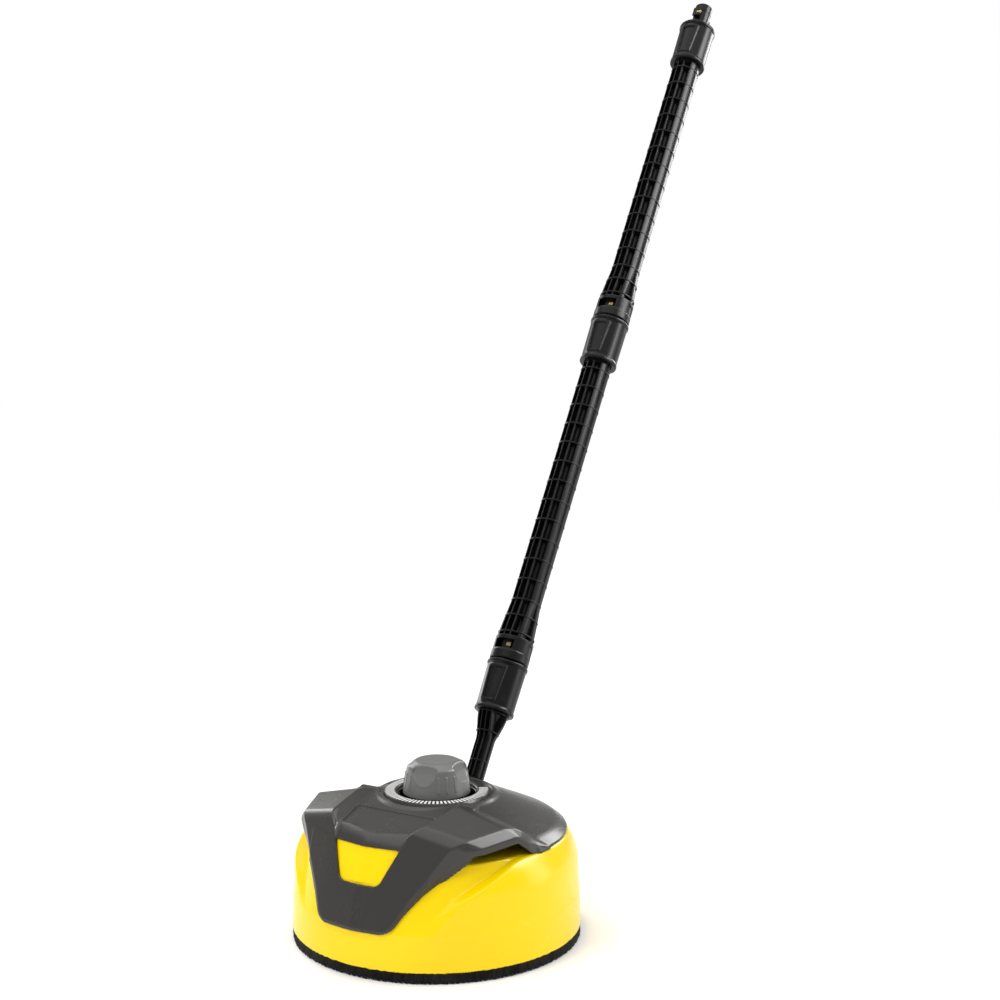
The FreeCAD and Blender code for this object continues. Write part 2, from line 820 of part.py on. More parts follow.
def make_plunger():
    slide = "valve_bore - fit_gap"
    node("valve_plunger", turned("plunger", [
        ("0", "valve_floor + 0.6"),
        ("2.4", "valve_floor + 2"),
        ("4.5", "valve_floor + 3.4"),
        (slide, "valve_floor + 3.4"),
        (slide, "valve_floor + 6"),
        ("5.4", "valve_floor + 6"),
        ("5.4", "valve_floor + 8"),
        (slide, "valve_floor + 8"),
        (slide, "valve_floor + 10"),
        ("3", "valve_floor + 10"),
        ("3", "valve_top"),
        ("0", "valve_top"),
    ]))
    node("plunger_seal", turned("plunger_ring", [
        ("5.45", "valve_floor + 6.1"),
        ("valve_bore - fit_gap", "valve_floor + 6.1"),
        ("valve_bore - fit_gap", "valve_floor + 7.9"),
        ("5.45", "valve_floor + 7.9"),
    ]))


def make_inlet():
    """The metal elbow that carries water from the wand's root to the valve's port."""
    lean = math.radians(value("wand_lean"))
    level = value("port_height")
    corner_y = value("wand_foot_y") + (level - value("wand_foot_z")) * math.tan(lean)
    corner = Vector(0, corner_y, level)
    up_wand = Vector(0, math.sin(lean), math.cos(lean))
    tangent = 7.0
    bend = tangent / math.tan((math.pi / 2 - lean) / 2)
    start = corner + up_wand * 12.7
    first = corner + up_wand * tangent
    last = corner - Vector(0, tangent, 0)
    end = Vector(0, 24.2, level)
    half = math.tan((math.pi / 2 - lean) / 2)
    inward = (up_wand - Vector(0, 1, 0)).normalize()
    centre = corner + inward * math.hypot(bend, tangent)
    middle = centre - inward * bend
    route = Part.Wire([Part.LineSegment(start, first).toShape(),
                       Part.Arc(first, middle, last).toShape(),
                       Part.LineSegment(last, end).toShape()])

    def tube(radius):
        ring = Part.Wire(Part.Circle(start, up_wand, radius).toShape())
        return route.makePipeShell([ring], True, True)

    pipe = doc.addObject("Part::Feature", "inlet")
    pipe.Shape = tube(value("pipe_radius")).cut(tube(value("pipe_bore")))
    node("inlet_pipe", pipe)


def make_socket():
    """The socket that stands on the hood plate and holds the wand's root."""
    barrel = on_wand(cylinder("socket_barrel", "socket_barrel_radius", "60"), "-60")
    blank = common("socket_blank", barrel, under_wing("socket_room", "0.3"))
    bore = on_wand(cylinder("socket_bore", "root_radius - 0.25", "60"), "-root_depth")
    passage = on_wand(cylinder("socket_passage", "pipe_radius + 0.3", "90"), "-60")
    pipe_slot = block("socket_slot", ("2 * pipe_radius + 0.6", "60", "30"),
                      ("-pipe_radius - 0.3", "0", "port_height - pipe_radius - 0.3"))
    valve_side = block("socket_front_trim", ("60", "40", "60"), ("-30", "-4", "100"))
    y, z = wand_spot("-root_screw_depth")
    screw_bore = cylinder("socket_screw_bore", "pilot_radius", "40", "-20", y, z,
                          Vector(1, 0, 0))
    node("wand_socket", cut("socket", blank, bore, passage, pipe_slot, valve_side,
                            screw_bore))
    screws = []
    for side in (1, -1):
        screw = turned("root_screw_right" if side > 0 else "root_screw_left", [
            ("0", "root_radius - 2.7"),
            ("1.5", "root_radius - 2.7"),
            ("1.5", "socket_barrel_radius + 0.2"),
            ("3.2", "socket_barrel_radius + 0.2"),
            ("3.2", "socket_barrel_radius + 2.4"),
            ("0", "socket_barrel_radius + 2.4"),
        ])
        screw.Placement.Rotation = Rotation(Vector(0, 0, 1), Vector(side, 0, 0))
        screws.append(move(screw, "0", y, z))
    node("root_screws", group("root_screw_set", screws))


# ---------------------------------------------------------------- bearings and rotor

def make_housing():
    flange_top = "hood_top_height - hood_wall"
    blank = turned("housing_blank", [
        ("0", "housing_foot"),
        ("housing_radius", "housing_foot"),
        ("housing_radius", "%s - 6" % flange_top),
        ("valve_flange_radius", "%s - 6" % flange_top),
        ("valve_flange_radius", flange_top),
        ("0", flange_top),
    ])
    bores = turned("housing_bores", [
        ("0", "housing_foot - 1"),
        ("bearing_outer_radius", "housing_foot - 1"),
        ("bearing_outer_radius", "lower_bearing_foot + bearing_width"),
        ("shaft_radius + 2", "lower_bearing_foot + bearing_width"),
        ("shaft_radius + 2", "upper_bearing_foot"),
        ("bearing_outer_radius", "upper_bearing_foot"),
        ("bearing_outer_radius", "upper_bearing_foot + bearing_width"),
        ("7.2", "upper_bearing_foot + bearing_width"),
        ("7.2", "%s - 6" % flange_top),
        ("15.05", "%s - 6" % flange_top),
        ("15.05", "%s + 1" % flange_top),
        ("0", "%s + 1" % flange_top),
    ])
    holes = []
    screws = []
    for index, (x, y) in enumerate(screw_spots()):
        holes.append(cylinder("housing_screw_hole_%d" % index, "screw_radius + fit_gap",
                              "12", x, y, "%s - 8" % flange_top))
        screws.append(move(turned("housing_screw_%d" % index, [
            ("0", "%s - 6 - screw_head" % flange_top),
            ("screw_head_radius", "%s - 6 - screw_head" % flange_top),
            ("screw_head_radius", "%s - 6" % flange_top),
            ("screw_radius", "%s - 6" % flange_top),
            ("screw_radius", "hood_top_height + valve_flange - 1.5"),
            ("0", "hood_top_height + valve_flange - 1.5"),
        ]), x, y, "0"))
    node("bearing_housing", cut("housing", blank, bores, *holes))
    node("housing_screws", group("housing_screw_set", screws))
    node("shaft_seal", turned("seal", [
        ("shaft_radius + fit_gap", "upper_bearing_foot + bearing_width + 0.2"),
        ("7.2", "upper_bearing_foot + bearing_width + 0.2"),
        ("7.2", "upper_bearing_foot + bearing_width + 3.4"),
        ("shaft_radius + fit_gap", "upper_bearing_foot + bearing_width + 3.4"),
    ]))


def make_bearing(tag, foot):
    """A ball bearing: outer race and balls stay in the housing, inner race spins."""
    top = "%s + bearing_width" % foot
    node(tag + "_bearing_outer_race", turned(tag + "_outer_race", [
        ("bearing_outer_radius - race_wall", foot),
        ("bearing_outer_radius", foot),
        ("bearing_outer_radius", top),
        ("bearing_outer_radius - race_wall", top),
    ]))
    node(tag + "_bearing_inner_race", turned(tag + "_inner_race", [
        ("shaft_radius", foot),
        ("shaft_radius + race_wall", foot),
        ("shaft_radius + race_wall", top),
        ("shaft_radius", top),
    ]))
    balls = []
    for index in range(BALLS_PER_BEARING):
        ball = doc.addObject("Part::Sphere", "%s_ball_%d" % (tag, index))
        bind(ball, Radius="ball_radius")
        angle = "%d * 360 / %d" % (index, BALLS_PER_BEARING)
        move(ball, "ball_circle * sin(%s)" % angle, "ball_circle * cos(%s)" % angle,
             "%s + bearing_width / 2" % foot)
        balls.append(ball)
    node(tag + "_bearing_balls", group(tag + "_ball_set", balls))


def make_rotor():
    shaft = turned("shaft_blank", [
        ("0", "shaft_foot"),
        ("shaft_radius", "shaft_foot"),
        ("shaft_radius", "housing_foot + 1.5"),
        ("shaft_radius - 0.5", "housing_foot + 1.5"),
        ("shaft_radius - 0.5", "housing_foot + 2.8"),
        ("shaft_radius", "housing_foot + 2.8"),
        ("shaft_radius", "shaft_top"),
        ("0", "shaft_top"),
    ])
    bore = cylinder("shaft_bore_hole", "shaft_bore", "80", z="shaft_foot + 4")
    cross = cylinder("shaft_cross_hole", "shaft_bore", "20", x="-10", z="arm_axis_height",
                     axis=Vector(1, 0, 0))
    node("rotor_shaft", cut("shaft", shaft, bore, cross))
    node("shaft_circlip", turned("circlip", [
        ("shaft_radius - 0.5", "housing_foot + 1.7"),
        ("shaft_radius + 2", "housing_foot + 1.7"),
        ("shaft_radius + 2", "housing_foot + 2.7"),
        ("shaft_radius - 0.5", "housing_foot + 2.7"),
    ]))
    hub = turned("hub_blank", [
        ("shaft_radius", "hub_foot"),
        ("hub_radius", "hub_foot"),
        ("hub_radius", "hub_top - 6"),
        ("hub_radius - 6", "hub_top"),
        ("shaft_radius", "hub_top"),
    ])
    seats = cylinder("hub_arm_seats", "shaft_radius + fit_gap", "40", x="-20",
                     z="arm_axis_height", axis=Vector(1, 0, 0))
    node("rotor_hub", cut("hub", hub, seats))
    node("hub_plug", turned("plug", [
        ("0", "hub_foot - 3"),
        ("9", "hub_foot - 3"),
        ("9", "hub_foot"),
        ("shaft_radius - 0.1", "hub_foot"),
        ("shaft_radius - 0.1", "shaft_foot - 0.1"),
        ("0", "shaft_foot - 0.1"),
    ]))
    for side in (1, -1):
        make_rotor_arm(side)


def make_rotor_arm(side):
    tag = "right" if side > 0 else "left"
    axis = Vector(side, 0, 0)
    start = "%d * (shaft_radius + 0.1)" % side
    arm = cylinder("arm_tube_" + tag, "shaft_radius", "arm_end - shaft_radius - 0.1",
                   x=start, z="arm_axis_height", axis=axis)
    bore = cylinder("arm_tube_bore_" + tag, "shaft_bore", "arm_end + 10",
                    z="arm_axis_height", axis=axis)
    node("rotor_arm_" + tag, cut("rotor_tube_" + tag, arm, bore))

    centre = "%d * nozzle_circle" % side
    low = "arm_axis_height - 9"
    holder = move(turned("holder_blank_" + tag, [
        ("0", low),
        ("holder_radius", low),
        ("holder_radius", "arm_axis_height + 5"),
        ("holder_radius - 3", "arm_axis_height + 8"),
        ("0", "arm_axis_height + 8"),
    ]), centre, "0", "0")
    arm_seat = cylinder("holder_arm_seat_" + tag, "shaft_radius + fit_gap",
                        "arm_end + 0.2 - 90", x="%d * 90" % side, z="arm_axis_height",
                        axis=axis)
    water = cylinder("holder_water_" + tag, "shaft_bore", "12", x="%d * 108" % side,
                     z="arm_axis_height", axis=axis)
    down = cylinder("holder_down_" + tag, "shaft_bore", "9", x=centre,
                    z="arm_axis_height - 9")
    seat = cylinder("holder_nozzle_seat_" + tag, "4.05", "4.4", x=centre, z=low + " - 1")
    node("nozzle_holder_" + tag, cut("holder_" + tag, holder, arm_seat, water, down, seat))

    nozzle = move(turned("jet_blank_" + tag, [
        ("0", low + " - 6"),
        ("3.2", low + " - 6"),
        ("3.2", low + " - 3"),
        ("5.5", low + " - 3"),
        ("5.5", low + " - 0.1"),
        ("4", low + " - 0.1"),
        ("4", low + " + 3"),
        ("0", low + " + 3"),
    ]), centre, "0", "0")
    jet_bore = cylinder("jet_bore_" + tag, "1.2", "8", x=centre, z=low + " - 4")
    slit = block("jet_slit_" + tag, ("8", "0.8", "3"), (centre + " - 4", "-0.4", low + " - 7"))
    node("jet_nozzle_" + tag, cut("jet_" + tag, nozzle, jet_bore, slit))
    node("nozzle_nut_" + tag, move(turned("nut_" + tag, [
        ("3.4", low + " - 4.6"),
        ("7.5", low + " - 4.6"),
        ("8.2", low + " - 0.1"),
        ("5.6", low + " - 0.1"),
        ("5.6", low + " - 3.1"),
        ("3.4", low + " - 3.1"),
    ]), centre, "0", "0"))


# ---------------------------------------------------------------- brush and screws

def make_brush():
    top = "carrier_foot + carrier_height"
    node("brush_carrier", turned("carrier", [
        ("bristle_inner_radius", "carrier_foot"),
        ("carrier_outer_radius", "carrier_foot"),
        ("carrier_outer_radius", top),
        ("carrier_outer_radius - 2.5", top),
        ("carrier_outer_radius - 2.5", "carrier_foot + 4"),
        ("bristle_inner_radius", "carrier_foot + 4"),
    ]))
    node("brush_bristles", turned("bristles", [
        ("bristle_inner_radius", "0"),
        ("bristle_outer_radius", "0"),
        ("bristle_outer_radius", "rim_height - 0.1"),
        ("carrier_outer_radius", "rim_height - 0.1"),
        ("carrier_outer_radius", "carrier_foot"),
        ("bristle_inner_radius", "carrier_foot"),
    ]))


def make_cover_screws():
    screws = []
    plate_foot = "hood_top_height - hood_wall"
    for index, (x, y) in enumerate(post_spots()):
        screws.append(move(turned("cover_screw_%d" % index, [
            ("0", plate_foot + " - screw_head"),
            ("screw_head_radius", plate_foot + " - screw_head"),
            ("screw_head_radius", plate_foot),
            ("screw_radius", plate_foot),
            ("screw_radius", "hood_top_height + 12"),
            ("0", "hood_top_height + 12"),
        ]), x, y, "0"))
    node("cover_screws", group("cover_screw_set", screws))


# ---------------------------------------------------------------- wand

def ribbed(name, envelope, core, radius, ring_heights, foot, length):
    """A core with long fins inside an envelope, and ring ribs round it."""
    fins = []
    for index, share in enumerate(FIN_SHARES):
        fins.append(block("%s_fin_%d" % (name, index), ("fin_width", "60", length),
                          ("%s * %s - fin_width / 2" % (share, radius), "-30", foot)))
    fins.append(block("%s_side_fin" % name, ("60", "fin_width", length),
                      ("-30", "-fin_width / 2", foot)))
    for index, height in enumerate(ring_heights):
        fins.append(cylinder("%s_ring_%d" % (name, index), radius + " + 5", "fin_width",
                             z=height + " - fin_width / 2"))
    skin = common(name + "_skin", envelope, fuse(name + "_fins", fins))
    return fuse(name + "_solid", [core, skin])


def stub_points(base, foot):
    """Half section of a bayonet stub from its foot to its mouth."""
    return [
        ("stub_bore", foot),
        ("stub_radius - stub_relief", foot),
        ("stub_radius - stub_relief", base + " + lug_top"),
        ("stub_radius", base + " + lug_top"),
        ("stub_radius", base + " + stub_top - 1"),
        ("stub_radius - 1", base + " + stub_top"),
        ("6", base + " + stub_top"),
        ("6", base + " + stub_top - 4"),
        ("stub_bore", base + " + stub_top - 4"),
    ]


def make_stub(tag, base):
    """A male bayonet stub with two lugs, a brass key in the front lug and a mouth seal."""
    barrel = turned(tag + "_stub_barrel", stub_points(base, base + " + 118.2"))
    parts = [barrel]
    for index in range(2):
        lug = cylinder("%s_lug_%d" % (tag, index), "lug_radius", "lug_top - lug_foot",
                       z=base + " + lug_foot")
        bind(lug, Angle="lug_angle")
        lug.Placement.Rotation = Rotation(Vector(0, 0, 1),
                                          -90 - value("lug_angle") / 2 + 180 * index)
        parts.append(lug)
    bore = cylinder(tag + "_stub_hole", "stub_bore", "200", z=base + " + 50")
    mouth = cylinder(tag + "_stub_mouth", "6", "10", z=base + " + stub_top - 4")
    key_pocket = block(tag + "_key_pocket", ("6", "4", "4"),
                       ("-1", "-lug_radius - 1.2", base + " + 137.5"))
    body = cut(tag + "_stub_piece", fuse(tag + "_stub_solid", parts), bore, mouth,
               key_pocket)
    node(tag + "_stub", on_wand(body))
    key = block(tag + "_key_block", ("5.9", "1.8", "3.9"),
                ("-0.95", "-lug_radius + 0.9", base + " + 137.55"))
    node(tag + "_stub_key", on_wand(group(tag + "_key_set", [key])))
    node(tag + "_stub_seal", on_wand(turned(tag + "_seal_ring", [
        ("4.4", base + " + stub_top - 3.9"),
        ("5.95", base + " + stub_top - 3.9"),
        ("5.95", base + " + stub_top - 1.5"),
        ("4.4", base + " + stub_top - 1.5"),
    ])))


def make_collar(tag, base):
    """A grip collar that covers the joint, with a sunk blank grip panel in front."""
    foot = base + " + collar_foot"
    top = foot + " + collar_length"
    shell = turned(tag + "_collar_shell", [
        ("neck_radius + fit_gap", foot),
        ("collar_foot_radius - 0.8", foot),
        ("collar_foot_radius", foot + " + 1"),
        ("collar_top_radius", top + " - 5"),
        ("collar_rim_radius", top + " - 4"),
        ("collar_rim_radius", top + " - 1"),
        ("collar_rim_radius - 1", top),
        ("neck_radius + fit_gap", top),
        ("neck_radius + fit_gap", top + " - 3"),
        ("18.4", top + " - 6"),
        ("18.4", foot + " + 5"),
        ("neck_radius + fit_gap", foot + " + 3"),
    ])
    pocket = block(tag + "_collar_pocket", ("18", "6", "34"),
                   ("-9", "-26.2", foot + " + 10"))
    node(tag + "_collar", on_wand(cut(tag + "_collar_piece", shell, pocket)))


def make_root():
    """The short ribbed tube that stands in the hood's socket."""
    neck_top = "118"
    envelope = turned("root_envelope", [
        ("0", "-1"),
        ("root_radius", "-1"),
        ("root_radius", "root_flare_foot"),
        ("root_radius + 3.4", "root_flare_foot + 10"),
        ("root_flare_radius - 1.4", "collar_foot - 8"),
        ("root_flare_radius", "collar_foot - 0.2"),
        ("0", "collar_foot - 0.2"),
    ])
    core = turned("root_core", [
        ("0", "-root_depth"),
        ("root_radius - 0.3", "-root_depth"),
        ("root_radius - 0.3", "-1"),
        ("root_core_radius", "-1"),
        ("root_core_radius", "root_flare_foot"),
        ("neck_radius - 1", "collar_foot - 8"),
        ("neck_radius", "collar_foot - 2"),
        ("neck_radius", neck_top),
        ("0", neck_top),
    ])
    ribs = ribbed("root", envelope, core, "root_radius",
                  ("12", "root_flare_foot + 8"), "-1", "collar_foot + 0.8")
    closing = cylinder("root_closing_disc", "root_flare_radius", "2",
                       z="collar_foot - 2.2")
    bore = cylinder("root_bore", "stub_bore", "200", z="-30")
    pipe_seat = cylinder("root_pipe_seat", "pipe_radius + fit_gap", "6",
                         z="-root_depth - 1")
    lightening = turned("root_lightening", [
        ("6", "collar_foot"), ("neck_radius - 2.5", "collar_foot"),
        ("neck_radius - 2.5", neck_top + " - 4"), ("6", neck_top + " - 4")])
    screw_pilot = cylinder("root_screw_pilot", "pilot_radius", "40", x="-20",
                           z="-root_screw_depth", axis=Vector(1, 0, 0))
    body = fuse("root_with_disc", [ribs, closing])
    node("wand_root", on_wand(cut("root_tube", body, bore, pipe_seat, lightening,
                                  screw_pilot)))


def make_tube(tag, base):
    """An extension tube: a ribbed sheath with a bayonet socket below and a neck above, and
    the pressure pipe inside it."""
    socket = base + " + socket_foot"
    straight = base + " + first_ring"
    end = base + " + tube_pitch + collar_foot - 0.2"
    neck_top = base + " + tube_pitch + 118"
    envelope = turned(tag + "_envelope", [
        ("0", base + " + 147"),
        ("socket_radius", base + " + 147"),
        ("socket_radius - 0.4", base + " + 151"),
        ("19.2", base + " + 167"),
        ("17.6", base + " + 182"),
        ("sheath_radius", straight),
        ("sheath_radius", end),
        ("0", end),
    ])
    core = turned(tag + "_core", [
        ("0", socket),
        ("socket_radius - 1", socket),
        ("socket_radius", socket + " + 1"),
        ("socket_radius", base + " + 148"),
        ("17", base + " + 150"),
        ("sheath_core_radius", base + " + 168"),
        ("sheath_core_radius", end + " - 4"),
        ("neck_radius", end + " - 2"),
        ("neck_radius", neck_top),
        ("0", neck_top),
    ])
    rings = [base + " + 153", base + " + 172.7"]
    for index in range(RINGS_PER_TUBE):
        rings.append("%s + %d * ring_pitch" % (straight, index))
    ribs = ribbed(tag, envelope, core, "sheath_radius", rings, base + " + 147",
                  "tube_pitch + collar_foot - 0.2 - 147")
    tools = [
        cylinder(tag + "_stub_seat", "stub_radius + 0.07", "stub_top + 1.5 - socket_foot + 5",
                 z=socket + " - 5"),
        turned(tag + "_hollow", [
            ("0", base + " + 162"),
            ("sheath_bore - 2", base + " + 162"),
            ("sheath_bore", base + " + 170"),
            ("sheath_bore", neck_top + " - 6"),
            ("0", neck_top + " - 6"),
        ]),
        cylinder(tag + "_pipe_seat", "inner_pipe_radius + fit_gap", "tube_pitch",
                 z=base + " + 150"),
    ]
    for index in range(2):
        track = cylinder("%s_track_%d" % (tag, index), "lug_radius + 0.25",
                         "lug_top - lug_foot + 1", z=base + " + lug_foot - 0.5")
        bind(track, Angle="twist_angle + lug_angle + 6")
        first = -90 - value("lug_angle") / 2 - 3 - value("twist_angle") + 180 * index
        track.Placement.Rotation = Rotation(Vector(0, 0, 1), first)
        entry = cylinder("%s_entry_%d" % (tag, index), "lug_radius + 0.25",
                         "lug_top - socket_foot + 6", z=socket + " - 5.5")
        bind(entry, Angle="lug_angle + 6")
        entry.Placement.Rotation = Rotation(Vector(0, 0, 1), first)
        tools += [track, entry]
    tools.append(block(tag + "_window", ("22", "15", "lug_top - lug_foot + 1"),
                       ("-12", "-26", base + " + lug_foot - 0.5")))
    node(tag + "_tube_sheath", on_wand(cut(tag + "_sheath", ribs, *tools)))
    node(tag + "_tube_pipe", on_wand(turned(tag + "_pipe", [
        ("3.4", base + " + 157.5"),
        ("inner_pipe_radius", base + " + 157.5"),
        ("inner_pipe_radius", neck_top),
        ("3.4", neck_top),
    ])))


def make_wand():
    make_root()
    make_collar("root", "0")
    make_stub("root", "0")
    for index, tag in enumerate(("lower", "upper")):
        base = "%d * tube_pitch" % index
        above = "%d * tube_pitch" % (index + 1)
        make_tube(tag, base)
        make_collar(tag, above)
        make_stub(tag, above)


make_hood()
make_cover()
make_dial()
make_knob()
make_valve()
make_spindle()
make_plunger()
make_inlet()
make_socket()
make_housing()
make_bearing("upper", "upper_bearing_foot")
make_bearing("lower", "lower_bearing_foot")
make_rotor()
make_brush()
make_cover_screws()
make_wand()
doc.recompute()

for thing in doc.Objects:
    if "Invalid" in thing.State or "Error" in thing.State:
        raise RuntimeError("%s (%s) failed: %s" % (thing.Name, thing.Label, thing.State))
for thing in nodes:
    if thing.Shape.isNull() or not thing.Shape.isValid():
        raise RuntimeError("%s has no valid shape" % thing.Label)

os.makedirs("parts", exist_ok=True)
for thing in nodes:
    thing.Shape.exportStep("parts/%s.step" % thing.Label)
    print("%-26s solids %2d  volume %9.0f" % (thing.Label, len(thing.Shape.Solids),
                                            thing.Shape.Volume))
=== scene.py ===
"""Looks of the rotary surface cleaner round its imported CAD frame.

Shapes are worked out in millimetres as distance fields or profiles and put into the scene in
metres. The front of the hood faces -Y, the wand leans towards +Y and +Z is up."""

import math

import bpy
import numpy as np
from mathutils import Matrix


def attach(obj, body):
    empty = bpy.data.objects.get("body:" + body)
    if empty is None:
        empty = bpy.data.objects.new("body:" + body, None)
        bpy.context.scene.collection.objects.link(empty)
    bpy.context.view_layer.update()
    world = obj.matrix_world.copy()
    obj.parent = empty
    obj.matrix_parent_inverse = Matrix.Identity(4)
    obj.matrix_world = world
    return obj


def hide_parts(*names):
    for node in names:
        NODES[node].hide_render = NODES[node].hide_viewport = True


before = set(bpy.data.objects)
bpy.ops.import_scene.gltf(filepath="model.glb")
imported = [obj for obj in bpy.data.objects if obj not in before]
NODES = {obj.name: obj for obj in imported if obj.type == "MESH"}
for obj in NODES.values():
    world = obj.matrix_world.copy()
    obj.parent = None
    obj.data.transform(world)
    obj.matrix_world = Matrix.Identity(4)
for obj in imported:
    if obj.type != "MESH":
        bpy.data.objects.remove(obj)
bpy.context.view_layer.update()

import openvdb
from mathutils import Matrix, Vector

MM = 0.001
POLISH_STEPS = 2


# ---------------------------------------------------------------- distance fields

def smax(a, b, radius):
    """Intersection of two fields with the edge rounded to the radius."""
    return (np.minimum(-radius, np.maximum(a, b))
            + np.sqrt(np.maximum(radius + a, 0) ** 2 + np.maximum(radius + b, 0) ** 2))


def smin(a, b, radius):
    """Union of two fields with the inner corner filled to the radius."""
    return -smax(-a, -b, radius)


def glide(t, points):
    """A smooth curve through (t, value) points that never overshoots, level beyond its ends."""
    knots = np.array([p[0] for p in points], float)
    values = np.array([p[1] for p in points], float)
    steps = np.diff(values) / np.diff(knots)
    before, after = steps[:-1], steps[1:]
    same_way = before * after > 0
    middle = np.where(same_way, 2 * before * after / np.where(same_way, before + after, 1.0), 0.0)
    slopes = np.concatenate([[0.0], middle, [0.0]])
    held = np.clip(t, knots[0], knots[-1])
    index = np.clip(np.searchsorted(knots, held, side="right") - 1, 0, len(knots) - 2)
    width = knots[index + 1] - knots[index]
    u = (held - knots[index]) / width
    return ((1 + 2 * u) * (1 - u) ** 2 * values[index] + u * (1 - u) ** 2 * width * slopes[index]
            + u * u * (3 - 2 * u) * values[index + 1] - u * u * (1 - u) * width * slopes[index + 1])


def blend_along(t, points):
    """Straight lines through (t, value) points, level beyond its ends."""
    return np.interp(t, [p[0] for p in points], [p[1] for p in points])


def beyond(plane, ax, y, z):
    """How far a place lies beyond a plane, which is given by a point on it and its normal."""
    (px, py, pz), (nx, ny, nz) = plane
    return nx * (ax - px) + ny * (y - py) + nz * (z - pz)


def surface(field, low, high, cell):
    """Points, quads and normals of the field's zero surface inside the box."""
    axes = [np.arange(low[i], high[i] + cell, cell) for i in range(3)]
    grid_points = (axes[0][:, None, None], axes[1][None, :, None], axes[2][None, None, :])
    limit = 3.0 * cell
    shape = tuple(len(a) for a in axes)
    values = np.clip(np.broadcast_to(field(*grid_points), shape), -limit, limit)
    grid = openvdb.FloatGrid(limit)
    grid.copyFromArray(np.ascontiguousarray(values, dtype=np.float32))
    points, quads = grid.convertToQuads(isovalue=0)
    points = points.astype(float) * cell + np.array(low, float)
    for _ in range(POLISH_STEPS):
        slope = gradient(field, points, 0.2 * cell)
        away = field(points[:, 0], points[:, 1], points[:, 2])
        size = np.maximum((slope ** 2).sum(1), 0.05)
        step = np.clip(away / size, -0.6 * cell, 0.6 * cell)
        points -= slope * step[:, None]
    normals = gradient(field, points, 0.3 * cell)
    normals /= np.maximum(np.linalg.norm(normals, axis=1), 1e-9)[:, None]
    return points, quads, normals


def gradient(field, points, reach):
    """Slope of the field at each point, by central differences over the reach."""
    parts = []
    for axis in range(3):
        ends = []
        for sign in (1, -1):
            moved = points.copy()
            moved[:, axis] += sign * reach
            ends.append(field(moved[:, 0], moved[:, 1], moved[:, 2]))
        parts.append((ends[0] - ends[1]) / (2 * reach))
    return np.stack(parts, 1)


def outward(points, quads, normals):
    """The quads, turned over if their own normals disagree with the field's."""
    a, b, c = points[quads[:, 0]], points[quads[:, 1]], points[quads[:, 2]]
    faces = np.cross(b - a, c - a)
    if (faces * normals[quads[:, 0]]).sum() < 0:
        return quads[:, ::-1]
    return quads


# ---------------------------------------------------------------- pieces

def place(piece, body, finish, nodes=()):
    """Gives a piece its finish, its body and the CAD nodes that it replaces."""
    piece.data.materials.append(finish)
    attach(piece, body)
    if nodes:
        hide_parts(*nodes)


def new_piece(name, mesh):
    piece = bpy.data.objects.new(name, mesh)
    bpy.context.scene.collection.objects.link(piece)
    return piece


def moulded(name, field, low, high, cell, turn=None):
    """A piece bounded by a distance field, turned into place by a matrix in millimetres."""
    points, quads, normals = surface(field, low, high, cell)
    quads = outward(points, quads, normals)
    if turn is not None:
        spin = np.array(turn.to_3x3())
        points = points @ spin.T + np.array(turn.translation)
        normals = normals @ spin.T
    mesh = bpy.data.meshes.new(name)
    mesh.from_pydata((points * MM).tolist(), [], quads.tolist())
    mesh.shade_smooth()
    mesh.normals_split_custom_set_from_vertices(normals.tolist())
    return new_piece(name, mesh)


class Builder:
    """Collects closed parts of one piece as points in millimetres and faces."""

    def __init__(self):
        self.points = []
        self.faces = []

    def add(self, points, faces):
        start = len(self.points)
        self.points += [tuple(p) for p in points]
        self.faces += [[start + i for i in face] for face in faces]

    def loft(self, rings, closed=False):
        """Joins rings of equal length in order and caps the two ends, unless closed."""
        count = len(rings[0])
        points = [p for ring in rings for p in ring]
        faces = []
        last = len(rings) if closed else len(rings) - 1
        for k in range(last):
            a, b = k * count, ((k + 1) % len(rings)) * count
            for i in range(count):
                j = (i + 1) % count
                faces.append([a + i, a + j, b + j, b + i])
        if not closed:
            faces.append(list(range(count))[::-1])
            faces.append([(len(rings) - 1) * count + i for i in range(count)])
        self.add(points, faces)

    def lathe(self, profile, segments=72, closed=False):
        """Turns (radius, height) points round Z. A closed profile makes a ring."""
        rings = []
        for radius, height in profile:
            rings.append([(radius * math.cos(a), radius * math.sin(a), height)
                          for a in (2 * math.pi * i / segments for i in range(segments))])
        self.loft(rings, closed)

    def piece(self, name, turn=None, sharp=0.6):
        mesh = bpy.data.meshes.new(name)
        matrix = turn or Matrix.Identity(4)
        mesh.from_pydata([(matrix @ Vector(p)) * MM for p in self.points], [], self.faces)
        mesh.validate()
        mesh.shade_smooth()
        mesh.set_sharp_from_angle(angle=sharp)
        return new_piece(name, mesh)


# ---------------------------------------------------------------- camera, light and floor

WORLD_LIGHT = 0.42
WORLD_SEEN = 1.0
FLOOR_WIDTH = 16.0
CAMERA_PLACE = Vector((931.4, -1359.2, 618.3)) * MM
CAMERA_AIM = Vector((-0.5298, 0.84106, -0.1092))
CAMERA_LENS = 60.48
SENSOR_WIDTH = 36.0


def make_camera():
    data = bpy.data.cameras.new("camera")
    data.lens = CAMERA_LENS
    data.sensor_width = SENSOR_WIDTH
    camera = bpy.data.objects.new("camera", data)
    camera.location = CAMERA_PLACE
    camera.rotation_mode = "QUATERNION"
    camera.rotation_quaternion = CAMERA_AIM.to_track_quat("-Z", "Y")
    bpy.context.scene.collection.objects.link(camera)
    bpy.context.scene.camera = camera


